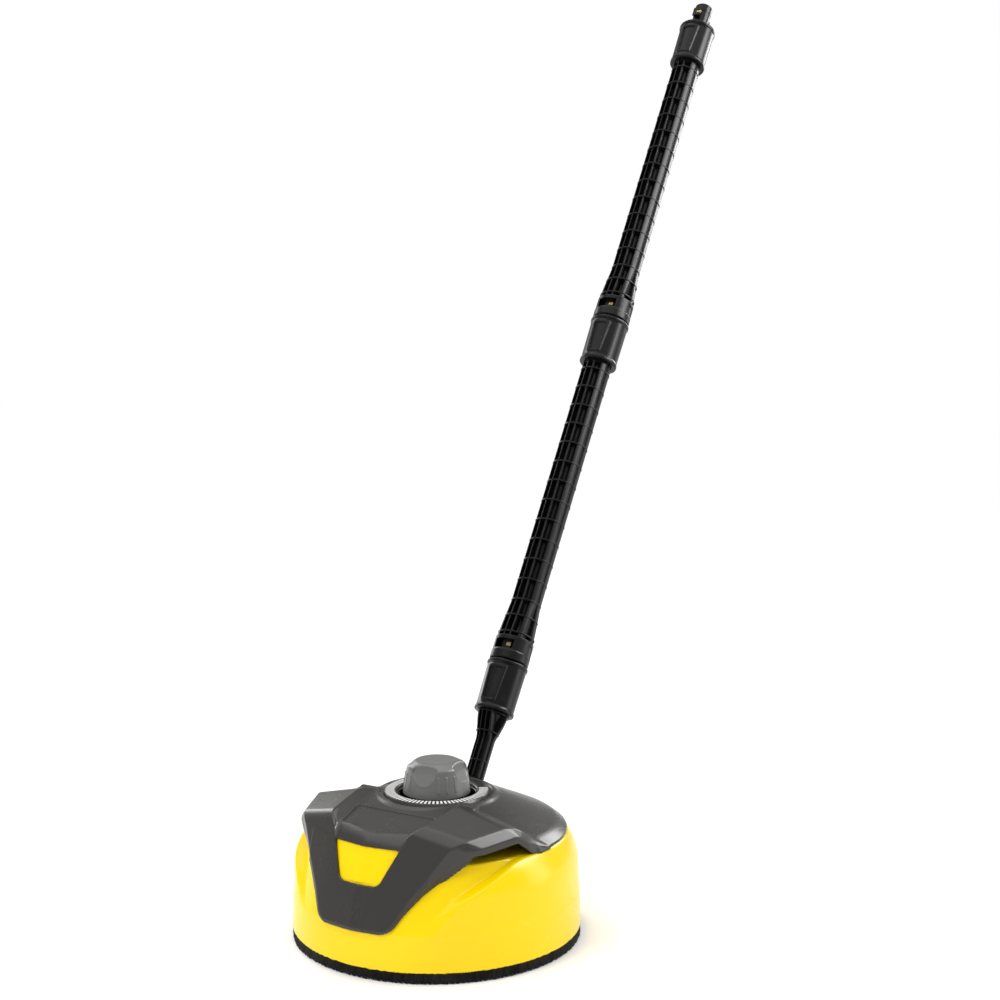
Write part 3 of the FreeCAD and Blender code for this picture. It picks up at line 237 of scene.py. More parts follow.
def make_lamp(name, spot, aim, size, power, tall=None, gloss_only=False):
    """A rectangular lamp, size wide and tall high. Without tall it is a square."""
    data = bpy.data.lights.new(name, "AREA")
    data.shape = "RECTANGLE"
    data.size = size
    data.size_y = tall or size
    data.energy = power
    lamp = bpy.data.objects.new(name, data)
    lamp.location = spot
    lamp.rotation_mode = "QUATERNION"
    lamp.rotation_quaternion = (Vector(aim) - Vector(spot)).to_track_quat("-Z", "Y")
    lamp.visible_diffuse = not gloss_only
    bpy.context.scene.collection.objects.link(lamp)
    return lamp


def make_sun(name, direction, strength, spread):
    data = bpy.data.lights.new(name, "SUN")
    data.energy = strength
    data.angle = math.radians(spread)
    sun = bpy.data.objects.new(name, data)
    sun.rotation_mode = "QUATERNION"
    sun.rotation_quaternion = Vector(direction).to_track_quat("-Z", "Y")
    bpy.context.scene.collection.objects.link(sun)


def make_world():
    """White surroundings that light the object less than they show."""
    world = bpy.data.worlds.new("studio")
    bpy.context.scene.world = world
    world.use_nodes = True
    back = world.node_tree.nodes["Background"]
    back.inputs["Color"].default_value = (1.0, 1.0, 1.0, 1.0)
    path = world.node_tree.nodes.new("ShaderNodeLightPath")
    level = world.node_tree.nodes.new("ShaderNodeMapRange")
    level.inputs["To Min"].default_value = WORLD_LIGHT
    level.inputs["To Max"].default_value = WORLD_SEEN
    world.node_tree.links.new(path.outputs["Is Camera Ray"], level.inputs["Value"])
    world.node_tree.links.new(level.outputs["Result"], back.inputs["Strength"])
    bpy.context.scene.view_settings.view_transform = "Standard"


def make_lamps():
    """A wide soft light from above, strips at the sides, and cards that only shine in gloss."""
    make_sun("ceiling_light", (0.05, 0.1, -1.0), 1.84, 80.0)
    make_lamp("rear_card", (0.28, 1.55, 0.88), (0.12, 0.0, 0.1), 0.38, 8.0, 0.6, True)
    make_lamp("left_strip", (-1.5, 0.7, 0.7), (0.0, 0.0, 0.15), 0.5, 9.0, 1.3)
    make_lamp("right_strip", (1.5, 0.9, 0.6), (0.0, 0.0, 0.15), 0.6, 9.0, 1.3)
    make_lamp("bevel_card", (1.25, 0.85, 1.45), (0.0, 0.0, 0.12), 1.15, 42.0, 0.9, True)
    fill = make_lamp("front_fill", (-0.9, -2.3, 1.9), (0.0, 0.0, 0.2), 1.2, 24.0)
    fill.visible_glossy = False


def make_floor():
    mesh = bpy.data.meshes.new("floor")
    half = FLOOR_WIDTH / 2
    mesh.from_pydata([(-half, -half, 0), (half, -half, 0), (half, half, 0), (-half, half, 0)],
                     [], [(0, 1, 2, 3)])
    floor = new_piece("floor", mesh)
    material = bpy.data.materials.new("floor_paper")
    material.use_nodes = True
    shader = material.node_tree.nodes["Principled BSDF"]
    shader.inputs["Base Color"].default_value = (1.0, 1.0, 1.0, 1.0)
    shader.inputs["Roughness"].default_value = 0.9
    shader.inputs["Specular IOR Level"].default_value = 0.0
    floor.data.materials.append(material)


# ---------------------------------------------------------------- materials

class Finish:
    """A small helper that wires one procedural material."""

    def __init__(self, name, **sockets):
        self.material = bpy.data.materials.new(name)
        self.material.use_nodes = True
        self.tree = self.material.node_tree
        self.shader = self.tree.nodes["Principled BSDF"]
        for socket, number in sockets.items():
            self.shader.inputs[socket.replace("_", " ")].default_value = number
        self.coords = self.tree.nodes.new("ShaderNodeTexCoord").outputs["Object"]

    def node(self, kind, **settings):
        made = self.tree.nodes.new("ShaderNode" + kind)
        for name, setting in settings.items():
            setattr(made, name, setting)
        return made

    def link(self, output, node, socket):
        self.tree.links.new(output, node.inputs[socket])

    def noise(self, scale, detail=3.0, roughness=0.55, stretch=None):
        made = self.node("TexNoise")
        made.inputs["Scale"].default_value = scale
        made.inputs["Detail"].default_value = detail
        made.inputs["Roughness"].default_value = roughness
        where = self.coords
        if stretch:
            mapping = self.node("Mapping")
            mapping.inputs["Scale"].default_value = stretch
            self.link(where, mapping, "Vector")
            where = mapping.outputs["Vector"]
        self.link(where, made, "Vector")
        return made.outputs["Fac"]

    def spread(self, value, low, high, start=0.3, end=0.7):
        """Maps a noise value from start..end onto low..high."""
        made = self.node("MapRange")
        made.inputs["From Min"].default_value = start
        made.inputs["From Max"].default_value = end
        made.inputs["To Min"].default_value = low
        made.inputs["To Max"].default_value = high
        self.link(value, made, "Value")
        return made.outputs["Result"]

    def blend(self, share, first, second):
        made = self.node("Mix", data_type="RGBA")
        self.link(share, made, "Factor")
        made.inputs["A"].default_value = (*first, 1.0)
        if isinstance(second, tuple):
            made.inputs["B"].default_value = (*second, 1.0)
        else:
            self.tree.links.new(second, made.inputs["B"])
        return made

    def colour(self, output):
        self.link(output, self.shader, "Base Color")

    def roughness(self, output):
        self.link(output, self.shader, "Roughness")

    def bump(self, layers):
        """Stacks (height output, distance in metres, strength) bumps."""
        last = None
        for height, distance, strength in layers:
            made = self.node("Bump")
            made.inputs["Distance"].default_value = distance
            made.inputs["Strength"].default_value = strength
            self.link(height, made, "Height")
            if last is not None:
                self.link(last, made, "Normal")
            last = made.outputs["Normal"]
        self.link(last, self.shader, "Normal")


def dark(colour, share):
    return tuple(c * share for c in colour)


def moulded_plastic(name, colour, rough, grain_size, grain_depth, specular=0.5, scuffs=0.03):
    """Injection-moulded plastic: spark-eroded grain, faint flow marks and light scuffs.
    The grain size and depth are in metres."""
    finish = Finish(name, Specular_IOR_Level=specular)
    flow = finish.noise(9.0, 2.0, stretch=(1.0, 1.0, 0.4))
    scratch = finish.noise(140.0, 4.0, 0.7, stretch=(1.0, 0.16, 0.35))
    grain = finish.noise(1.0 / grain_size, 2.0, 0.5)
    orange_peel = finish.noise(160.0, 1.0, 0.4)
    base = finish.blend(finish.spread(flow, 0.0, 1.0), dark(colour, 0.93), colour)
    worn = finish.node("Mix", data_type="RGBA")
    finish.link(finish.spread(scratch, 0.0, scuffs, 0.62, 0.74), worn, "Factor")
    finish.tree.links.new(base.outputs["Result"], worn.inputs["A"])
    worn.inputs["B"].default_value = (*[0.6 + 0.4 * c for c in colour], 1.0)
    finish.colour(worn.outputs["Result"])
    rougher = finish.node("Math", operation="ADD")
    finish.link(finish.spread(flow, rough - 0.025, rough + 0.025), rougher, 0)
    finish.link(finish.spread(scratch, 0.0, 0.12, 0.6, 0.75), rougher, 1)
    finish.roughness(rougher.outputs["Value"])
    finish.bump([(orange_peel, 0.00008, 0.25), (grain, grain_depth, 0.5)])
    return finish.material


def cast_metal(name, colour, rough):
    """Turned metal with fine tool marks and tarnish."""
    finish = Finish(name, Metallic=1.0)
    tarnish = finish.noise(60.0, 4.0)
    lines = finish.noise(900.0, 2.0, 0.5, stretch=(0.08, 0.08, 1.0))
    finish.colour(finish.blend(finish.spread(tarnish, 0.0, 1.0), dark(colour, 0.75),
                               colour).outputs["Result"])
    finish.roughness(finish.spread(tarnish, rough - 0.06, rough + 0.1))
    finish.bump([(lines, 0.00004, 0.6)])
    return finish.material


def brush_fibre(name):
    """Black nylon filaments, each streaked along its length, greyer in scattered clumps."""
    finish = Finish(name, Specular_IOR_Level=0.35)
    streak = finish.noise(1400.0, 2.0, 0.6, stretch=(1.0, 1.0, 0.05))
    clump = finish.noise(110.0, 3.0, 0.6, stretch=(1.0, 1.0, 0.2))
    shade = finish.node("Math", operation="MULTIPLY")
    finish.link(streak, shade, 0)
    finish.link(clump, shade, 1)
    finish.colour(finish.blend(finish.spread(shade.outputs["Value"], 0.0, 1.0, 0.1, 0.5),
                               (0.003, 0.003, 0.003), (0.05, 0.049, 0.047)).outputs["Result"])
    finish.roughness(finish.spread(streak, 0.45, 0.7))
    finish.bump([(streak, 0.0003, 0.8)])
    return finish.material


def make_finishes():
    return {
        "yellow": moulded_plastic("yellow_gloss", (1.0, 0.71, 0.0), 0.22, 0.0009, 0.000012,
                                  specular=0.3, scuffs=0.004),
        "cover": moulded_plastic("charcoal_grain", (0.036, 0.034, 0.031), 0.27, 0.0006,
                                 0.00005, specular=0.42, scuffs=0.006),
        "wand": moulded_plastic("wand_black", (0.0045, 0.0045, 0.0042), 0.3, 0.0007, 0.00003,
                                specular=0.2, scuffs=0.01),
        "inner": moulded_plastic("inner_black", (0.012, 0.012, 0.012), 0.5, 0.0008, 0.00005,
                                 specular=0.3),
        "knob": moulded_plastic("knob_grey", (0.150, 0.150, 0.142), 0.33, 0.0006, 0.00003,
                                specular=0.5),
        "white": moulded_plastic("printed_white", (0.86, 0.86, 0.84), 0.4, 0.0005, 0.00002,
                                 scuffs=0.0),
        "rubber": moulded_plastic("seal_rubber", (0.010, 0.010, 0.010), 0.62, 0.0005,
                                  0.00005, specular=0.25),
        "brass": cast_metal("brass", (0.40, 0.31, 0.15), 0.3),
        "steel": cast_metal("steel", (0.56, 0.57, 0.58), 0.3),
        "bristles": brush_fibre("brush_nylon"),
    }


# ---------------------------------------------------------------- hood

HOOD = {
    "rim": 10.3, "wall": 3.0, "top": 107.0,
    "taper": 0.0397, "turn_height": 73.4,
    "bulge_centre": 88.5, "bulge": 54.2,
    "cone_foot": 144.0, "cone_foot_height": 46.0, "cone_slope": 0.318,
    "pad_half_width": 45.0, "pad_top": 123.0, "pad_rear": -60.0, "bore": 22.0,
}
CREASE_EDGE = ((57.0, 4.5), (82.0, 1.3))
CREASE = ((-150, 42), (-140, 43), (-126, 49), (-112, 66), (-102, 77), (-77, 92), (-46, 105),
          (-14, 111), (0, 130), (10, 160))


def hood_skin(x, y, z):
    """The hood's outer form: a recessed cone in front, and a fuller band below the crease."""
    radius = np.sqrt(x * x + y * y)
    lean = math.hypot(1.0, HOOD["cone_slope"])
    cone = (radius - HOOD["cone_foot"]
            + HOOD["cone_slope"] * np.maximum(z - HOOD["cone_foot_height"], 0)) / lean
    below = 0.5 * ((HOOD["turn_height"] - z) + np.sqrt((HOOD["turn_height"] - z) ** 2 + 36.0))
    above = np.maximum(z - HOOD["turn_height"], 0)
    band = np.hypot(radius - HOOD["bulge_centre"] - HOOD["taper"] * below, above) - HOOD["bulge"]
    line = glide(y, CREASE)
    steep = (glide(y + 1.0, CREASE) - glide(y - 1.0, CREASE)) / 2.0
    below_crease = (z - line) / np.sqrt(1.0 + steep ** 2)
    band = smax(band, z - HOOD["top"], 2.0)
    edge = blend_along(z, CREASE_EDGE)
    step = smax(band, below_crease, edge)
    pad_top = smax(np.abs(x) - HOOD["pad_half_width"], z - HOOD["pad_top"], 3.0)
    pad = np.maximum(pad_top, y - HOOD["pad_rear"])
    recessed = smax(cone, np.minimum(z - HOOD["top"], pad), 1.5)
    return smin(recessed, step, 1.6)


def hood_field(x, y, z):
    outer = hood_skin(x, y, z)
    shell = np.maximum(outer, -(outer + HOOD["wall"]))
    shell = smax(shell, HOOD["rim"] - z, 0.9)
    hole = np.sqrt(x * x + y * y) - HOOD["bore"]
    return np.maximum(shell, -hole)


# ---------------------------------------------------------------- cover

FACE = {"reach": 169.1, "across": 0.2767, "rake": 0.3377, "nose": 162.8, "nose_rake": 0.3108}
WINDOW = {"half_foot": 22.3, "foot": 86.0, "spread": 0.452, "top": 119.5, "corner": 5.0}
PANEL = {"height": 153.3, "fall": 0.2}
PANEL_EDGE = ((-130, 41.5), (-118, 41.5), (-107, 43.4), (-98, 46.1), (-83.5, 48.7),
              (-68, 50.1), (-51, 51.2), (-39, 51.4), (-10, 51.4))
WING = {"radius": 131.0, "foot": 104.5, "edge": 108.8, "boss": 62.0, "boss_height": 141.5,
        "fall": 0.4297}
WING_FRONT = ((65.0, 32.0), (125.0, 16.0))
ROOF = {"height": 176.2, "across": 0.271, "along": -0.203}
HEEL = {"height": 130.5, "across": 0.193, "along": 0.728}
VISOR_FOOT = 45.5
VISOR_EDGE = ((40.0, 0.0, VISOR_FOOT), (0.860, 0.0, -0.510))
SHOULDER = ((83.0, -106.3, 118.0), (0.633, -0.738, -0.232))
FLANK = ((96.5, -98.5, 0.0), (0.932, -0.363, 0.0))
FLANK_OUT = 3.5
EDGE_BEVEL = ((50.0, 2.2), (75.0, 3.6), (95.0, 3.6), (120.0, 6.8))
INNER_SLOPE = ((-124, 0.2), (-116, 0.35), (-104, 0.885), (-90, 0.885))
MIDDLE = {"half_width": 70.0, "rear": -30.0, "sunk": 1.0, "lip": 11.0}
ARM_TAIL = {"front": -40.0, "radius": 130.5, "foot": 104.0}
BOSS = {"radius": 60.0, "top": 142.1, "seat": 56.5}
PLATE = {"half_width": 46.7, "flare": 0.191, "wide_at": -69.5, "centre": -86.2,
         "half_length": 16.8, "depth": 1.3}
COVER = {"wall": 3.0, "skirt": 13.0, "front_foot": 40.0, "over_hood": 0.3, "well": 39.0,
         "wing_front": -20.0, "window_rear": -100.0, "bore_front": 20.0,
         "well_foot": 118.0, "wand_bore": 10.9, "post_radius": 5.0, "post_foot": 107.1}
COVER_POSTS = ((74.3, -62.4), (79.5, 55.6))
INSERT = {"sunk": 3.6, "overlap": 3.0, "gap": 0.35, "rear": -104.0}
WAND_FOOT = Vector((0.0, 71.87, 145.2))
WAND_LEAN = math.radians(31.63)


def face_field(ax, y, z):
    """Front of the cover: two raked faces that meet in a soft nose."""
    side = ((FACE["across"] * ax + FACE["rake"] * z - FACE["reach"] - y)
            / math.hypot(1.0, FACE["across"], FACE["rake"]))
    nose = (FACE["nose_rake"] * z - FACE["nose"] - y) / math.hypot(1.0, FACE["nose_rake"])
    return smax(side, nose, 9.0)


def window_field(ax, z, raised=0.0):
    """The cover's window, wider at the top, with its top edge raised."""
    side = ((ax - WINDOW["half_foot"] - (z - WINDOW["foot"]) * WINDOW["spread"])
            / math.hypot(1.0, WINDOW["spread"]))
    return smax(smax(side, WINDOW["foot"] - z, WINDOW["corner"]), z - WINDOW["top"] - raised, 1.0)


def insert_field(x, y, z):
    """The yellow panel that stands behind the cover's window."""
    ax = np.abs(x)
    face = face_field(ax, y, z) + INSERT["sunk"]
    rim = window_field(ax, z, INSERT["overlap"]) + INSERT["gap"]
    return np.maximum(smax(face, rim, 1.6), y - INSERT["rear"])


def cover_tops(ax, y, z, radius):
    """The three kinds of upper surface: arms with the visor, sunk middle, and rear wing."""
    front = face_field(ax, y, z)
    roof, heel = (
        (z - top["height"] + top["across"] * ax + top["along"] * y)
        / math.hypot(1.0, top["across"], top["along"]) for top in (ROOF, HEEL))
    panel = (z - PANEL["height"] - PANEL["fall"] * y) / math.hypot(1.0, PANEL["fall"])
    arm = smax(smax(roof, heel, 8.0), front, 8.0)
    middle = smax(panel, front + MIDDLE["sunk"], MIDDLE["lip"])
    middle = np.maximum(middle, np.maximum(ax - MIDDLE["half_width"], y - MIDDLE["rear"]))
    cone = ((z - WING["boss_height"] + WING["fall"] * (radius - WING["boss"]))
            / math.hypot(1.0, WING["fall"]))
    cone = np.maximum(cone, -(y + blend_along(ax, WING_FRONT)))
    edge = np.minimum(glide(y, PANEL_EDGE),
                      WINDOW["half_foot"] + (z - WINDOW["foot"]) * WINDOW["spread"])
    inner_wall = 0.75 * (glide(y, INNER_SLOPE) * np.maximum(panel, 0) - (ax - edge))
    inner_wall = smin(inner_wall, z - WINDOW["foot"], 4.0)
    return arm, inner_wall, middle, cone, panel


def cover_solid(x, y, z):
    """The cover as a full body, before it is hollowed."""
    ax = np.abs(x)
    radius = np.sqrt(x * x + y * y)
    arm, inner_wall, middle, cone, panel = cover_tops(ax, y, z, radius)

    edges = smin(beyond(VISOR_EDGE, ax, y, z), beyond(SHOULDER, ax, y, z), 12.0)
    walls = smax(edges, beyond(FLANK, ax, y, z) - FLANK_OUT, 6.0)
    walls = smax(walls, VISOR_FOOT - z, 8.0)

    chamfer = (arm + walls + blend_along(z, EDGE_BEVEL)) / math.sqrt(2.0)
    arm = smax(smax(smax(arm, walls, 0.8), chamfer, 0.7), inner_wall, 1.6)
    past_tail = np.maximum(radius - ARM_TAIL["radius"], ARM_TAIL["foot"] - z)
    arm = np.maximum(arm, np.minimum(y - ARM_TAIL["front"], past_tail))
    middle = np.maximum(middle, walls)

    rim = 0.60 * (radius - WING["radius"]) + 0.80 * (z - WING["edge"])
    wing = smax(smax(cone, rim, 0.8), radius - WING["radius"], 0.7)
    wing = np.maximum(wing, WING["foot"] - z)
    boss = smax(radius - BOSS["radius"], z - BOSS["top"], 3.0)

    body = smin(arm, middle, 2.0)
    body = smin(body, wing, 6.0)
    body = smin(body, boss, 5.0)
    seat = smax(radius - BOSS["seat"], BOSS["top"] - z, 1.5)
    body = smax(body, -seat, 2.0)
    plate_side = ax - PLATE["half_width"] - PLATE["flare"] * (y - PLATE["wide_at"])
    plate = smax(plate_side, np.abs(y - PLATE["centre"]) - PLATE["half_length"], 3.0)
    sunk = smax(plate, -(panel + PLATE["depth"]), 0.3)
    return smax(body, -sunk, 0.35)


def wand_distance(x, y, z):
    """Distance from the wand's axis."""
    along_y, along_z = math.sin(WAND_LEAN), math.cos(WAND_LEAN)
    across = (y - WAND_FOOT.y) * along_z - (z - WAND_FOOT.z) * along_y
    return np.sqrt(x * x + across * across)


def cover_field(x, y, z):
    """The hollow cover: its wall, short skirt and screw posts, with window, well and bore cut."""
    ax = np.abs(x)
    radius = np.sqrt(x * x + y * y)
    outer = cover_solid(x, y, z)
    arm, inner_wall, middle, cone, _ = cover_tops(ax, y, z, radius)
    top = np.minimum(np.minimum(np.maximum(arm, inner_wall), middle), cone)
    shell = np.maximum(outer, -(outer + COVER["wall"]))
    shell = smax(shell, -(top + COVER["skirt"]), 0.6)
    foot = np.where(y > COVER["wing_front"], WING["foot"] - z, COVER["front_foot"] - z)
    shell = np.maximum(shell, foot)
    shell = smax(shell, -(hood_skin(x, y, z) - COVER["over_hood"]), 0.3)
    for post_x, post_y in COVER_POSTS:
        post = np.hypot(ax - post_x, y - post_y) - COVER["post_radius"]
        post = np.maximum(post, COVER["post_foot"] - z)
        shell = np.minimum(shell, np.maximum(post, outer + COVER["wall"] / 2))
    window = np.maximum(window_field(ax, z), y - COVER["window_rear"])
    shell = smax(shell, -window, 0.7)
    well = np.maximum(radius - COVER["well"], COVER["well_foot"] - z)
    shell = smax(shell, -well, 0.8)
    bore = np.maximum(wand_distance(x, y, z) - COVER["wand_bore"], COVER["bore_front"] - y)
    return smax(shell, -bore, 0.6)


# ---------------------------------------------------------------- dial and knob

RING = {"inner": 40.0, "outer": 52.0, "foot": 142.3, "top": 145.1}
KNOB = {"foot": 143.0, "foot_radius": 34.1, "taper": 0.155, "top": 175.9,
        "crown_height": 175.6, "crown_radius": 21.0, "crown_fall": 0.5,
        "hollow": 31.0, "hollow_top": 150.0, "core": 9.0}
KNOB_TURN = math.radians(-82.0)
SCOOPS = 4
SCOOP = {"foot": 156.6, "bend": 157.0, "depth": 31.4, "rake": 0.57, "upper": 171.0,
         "upper_depth": 23.6, "upper_rake": 0.24, "half_foot": 6.5, "half_width": 12.8,
         "spread": 0.7}
RIB = {"half_width": 0.85, "middle": 157.0, "half_length": 7.8, "proud": 0.75, "reach": 0.2}
RIB_ANGLES = (-0.28, 0.0, 0.28)


def make_dial(finish):
    """The grey ring that carries the scale's marks."""
    ring = Builder()
    foot, top = RING["foot"], RING["top"]
    inner, outer = RING["inner"], RING["outer"]
    ring.lathe([(inner, foot), (outer + 1.5, foot), (outer + 0.5, top - 1.0),
                (outer + 0.1, top - 0.3), (outer - 0.5, top), (inner + 1.5, top),
                (inner + 0.9, top - 0.3), (inner + 0.5, top - 1.0)], 180, closed=True)
    place(ring.piece("dial_ring", sharp=0.9), "hood", finish["cover"],
          ["scale_ring"])


def knob_field(x, y, z):
    """A tapered knob with four scooped grips, and three raised ribs between each pair."""
    radius = np.sqrt(x * x + y * y)
    angle = np.arctan2(y, x) - KNOB_TURN
    wall = ((radius - KNOB["foot_radius"] + KNOB["taper"] * (z - KNOB["foot"]))
            / math.hypot(1.0, KNOB["taper"]))
    crown = ((z - KNOB["crown_height"] + KNOB["crown_fall"] * (radius - KNOB["crown_radius"]))
             / math.hypot(1.0, KNOB["crown_fall"]))
    body = smax(smax(wall, crown, 1.6), z - KNOB["top"], 0.8)
    pitch = 2 * math.pi / SCOOPS
    wrapped = (angle + pitch / 2) % pitch - pitch / 2
    depth = radius * np.cos(wrapped)
    across = radius * np.abs(np.sin(wrapped))
    above_bend = z - SCOOP["bend"]
    grip = smax(SCOOP["depth"] - SCOOP["rake"] * above_bend - depth,
                SCOOP["upper_depth"] - SCOOP["upper_rake"] * (z - SCOOP["upper"]) - depth, 1.5)
    low_side = ((across - SCOOP["half_foot"] - SCOOP["spread"] * above_bend)
                / math.hypot(1.0, SCOOP["spread"]))
    scoop = smax(smax(low_side, across - SCOOP["half_width"], 2.0), SCOOP["foot"] - z, 2.5)
    body = smax(body, -smax(0.87 * grip, scoop, 1.2), 0.9)
    opposite = (angle % pitch) - pitch / 2
    for shift in RIB_ANGLES:
        turn = opposite - shift
        rib = smax(np.abs(radius * np.sin(turn)) - RIB["half_width"],
                   np.abs(z - RIB["middle"]) - RIB["half_length"], 0.6)
        rib = smax(np.maximum(rib, np.abs(turn) - RIB["reach"]), wall - RIB["proud"], 0.5)
        body = smin(body, rib, 0.6)
    hollow = np.maximum(np.maximum(radius - KNOB["hollow"], z - KNOB["hollow_top"]),
                        KNOB["core"] - radius)
    body = np.maximum(body, -hollow)
    return smax(body, KNOB["foot"] - z, 0.5)


# ---------------------------------------------------------------- brush

BRUSH = {"foot": 1.6, "top": 11.0, "inner": 137.6, "outer_foot": 142.8, "outer_top": 143.2}
BRISTLE_ROWS = ((144.2, 1250), (143.5, 1100), (137.2, 700))
BRISTLE_HALF = 0.34
TUFTS = 95.0
CLUMPS = 131.0
CLUMP_DRIFT = 37.0


def make_bristles(finish):
    """A dense brush ring: a dark core with rows of splayed filaments round it.
    Each row is a radius and a count of filaments."""
    rng = np.random.default_rng(7)
    brush = Builder()
    top, half = BRUSH["top"], BRISTLE_HALF
    brush.lathe([(BRUSH["inner"], BRUSH["foot"]), (BRUSH["outer_foot"], BRUSH["foot"]),
                 (BRUSH["outer_top"], top), (BRUSH["inner"], top)], 180, closed=True)
    for row, (radius, count) in enumerate(BRISTLE_ROWS):
        outside = radius > BRUSH["outer_foot"]
        for index in range(count):
            angle = 2 * math.pi * (index + 0.5 * row) / count + rng.normal(0, 0.0008)
            tuft = math.sin(angle * TUFTS + row) * 0.35
            lean = rng.normal(0, 0.55) + tuft
            flare = min(0.55, max(-0.5, rng.normal(0.1, 0.25))) * (1.0 if outside else -1.0)
            drift = 2.0 * math.sin(angle * CLUMP_DRIFT)
            clump = 0.5 + 0.5 * math.sin(angle * CLUMPS + drift + row)
            foot = min(2.2, abs(rng.normal(0.0, 0.35)) + 1.3 * clump)
            out = (math.cos(angle), math.sin(angle))
            side = (-out[1], out[0])
            rings = []
            for share in (1.0, 0.0):
                height = foot + (top - foot) * share
                away = radius + flare * (1 - share)
                slide = lean * (1 - share)
                centre = (out[0] * away + side[0] * slide, out[1] * away + side[1] * slide)
                rings.append([(centre[0] + half * (side[0] * u + out[0] * v),
                               centre[1] + half * (side[1] * u + out[1] * v), height)
                              for u, v in ((1, -0.6), (0, 1), (-1, -0.6))])
            brush.loft(rings)
    piece = brush.piece("brush_filaments", sharp=1.2)
    place(piece, "hood", finish["bristles"], ["brush_bristles"])


# ---------------------------------------------------------------- wand

TUBE_PITCH = 423.6
COLLAR_FOOT = 65.5
COLLAR_LENGTH = 56.0
TUBE_RADIUS = 16.8
CORE_RADIUS = 9.0
NECK_RADIUS = 15.4
JOINT_GAP = 0.2
NECK_OVERLAP = 0.8
UPPER_NECK = 20.0
RING_PROUD = 0.55
TUBE = {"start": 147.0, "foot_radius": 20.8, "first_ring": 153.0, "second_ring": 172.7,
        "even_rings": 191.7}
TUBE_ENVELOPE = ((0, 21.0), (6, 20.5), (20, 19.2), (35, 17.6), (45, TUBE_RADIUS))
FIN_CREST = ((-1.0, 0.5), (-0.8, 0.1), (-0.4, 0.0), (0.0, 0.0), (0.4, 0.0), (0.8, 0.1), (1.0, 0.5))
TUBE_FINS = ((-13.3, 3.9), (-3.7, 1.6), (3.7, 1.6), (13.3, 3.9))
SIDE_FIN_WIDTH = 4.4
RINGS_PER_TUBE = 13
RING_PITCH = 23.87
ROOT_FINS = ((-7.6, 2.0), (-2.6, 1.5), (2.6, 1.5), (7.6, 2.0))
ROOT_SIDE_FIN_WIDTH = 2.2
ROOT_FOOT = -24.0
ROOT_ENVELOPE = ((-6.0, 10.3), (36, 10.3), (46, 13.4), (57.5, 17.0))
ROOT_RINGS = (12.0, 44.0)
SOCKET = {"foot": 122.5, "top": 148.5, "radius": 20.9, "band": 21.25, "bore": 15.55,
          "slot": 139.5, "slot_half_width": 11.0, "slot_half_height": 6.0}
COLLAR = {"radius": 20.6, "flare": 0.014, "lip": 21.4, "rim": 22.2, "facet": 19.9,
          "panel_half": 6.8, "panel_middle": 28.5, "panel_radius": 21.6, "pocket": 20.2,
          "bore": 15.6, "end_bore": 11.2, "hollow": 18.2, "dome": 17.5, "dome_height": 3.4}
FACET_TURN = math.radians(-52.0)


def on_wand():
    """Turns a piece made about Z onto the leaning wand."""
    return Matrix.Translation(WAND_FOOT) @ Matrix.Rotation(-WAND_LEAN, 4, "X")


def fin_bar(builder, x, width, back, stations, envelope, inside, turn=0.0):
    """A long plate whose rounded crest follows the envelope. FIN_CREST says how far the crest
    drops at each share of the half width."""
    rings = []
    half = width / 2
    sign = 1.0 if back else -1.0
    c, n = math.cos(turn), math.sin(turn)
    for s in stations:
        radius = envelope(s)
        outline = [(x - half, inside)]
        for share, drop in FIN_CREST:
            px = x + share * half
            held = max(radius * radius - px * px, 1.0)
            outline.append((px, max(math.sqrt(held) - drop, inside + 0.2)))
        outline.append((x + half, inside))
        rings.append([(px * c - sign * py * n, px * n + sign * py * c, s) for px, py in outline])
    if back:
        rings = [ring[::-1] for ring in rings]
    builder.loft(rings)


def rib_ring(builder, height, radius, inside, width=1.7):
    """A thin ring with a rounded rim, round the wand's axis."""
    half = width / 2
    builder.lathe([(inside, height - half), (radius - 0.5, height - half),
                   (radius - 0.1, height - half * 0.55), (radius, height),
                   (radius - 0.1, height + half * 0.55), (radius - 0.5, height + half),
                   (inside, height + half)], 64, closed=True)


def profile_curve(points):
    """A function that reads the smooth curve through the points."""
    def read(s):
        return float(glide(np.array(s, float), points))
    return read


def stations_between(start, end, step=6.0):
    """Evenly spaced heights from start to end, about a step apart."""
    count = max(2, int((end - start) / step) + 1)
    return [start + (end - start) * k / (count - 1) for k in range(count)]


def ribbed_tube(name, base, neck, finish, body, nodes):
    """An extension tube's sheath: core, long fins and ring ribs."""
    tube = Builder()
    start, end = base + TUBE["start"], base + TUBE_PITCH + COLLAR_FOOT - JOINT_GAP
    envelope = profile_curve([(start + s, radius) for s, radius in TUBE_ENVELOPE])
    tube.lathe([(10.0, start - 3), (TUBE["foot_radius"], start - 3),
                (TUBE["foot_radius"], start + 0.5), (12.0, start + 2.0),
                (CORE_RADIUS, start + 21), (CORE_RADIUS, end - 5), (NECK_RADIUS, end - 2),
                (NECK_RADIUS, end + neck), (10.0, end + neck)], 72, closed=True)
    stations = stations_between(start, end)

    def crest(s):
        return envelope(s) - RING_PROUD

    for back in (False, True):
        for x, width in TUBE_FINS:
            fin_bar(tube, x, width, back, stations, crest, 1.0)
    for turn in (math.pi / 2, -math.pi / 2):
        fin_bar(tube, 0.0, SIDE_FIN_WIDTH, False, stations, crest, 3.0, turn)
    even_rings = [base + TUBE["even_rings"] + RING_PITCH * k for k in range(RINGS_PER_TUBE)]
    rings = [base + TUBE["first_ring"], base + TUBE["second_ring"]] + even_rings
    for s in rings:
        rib_ring(tube, s, envelope(s), 8.0)
    piece = tube.piece(name, on_wand(), sharp=0.5)
    place(piece, body, finish["wand"], nodes)


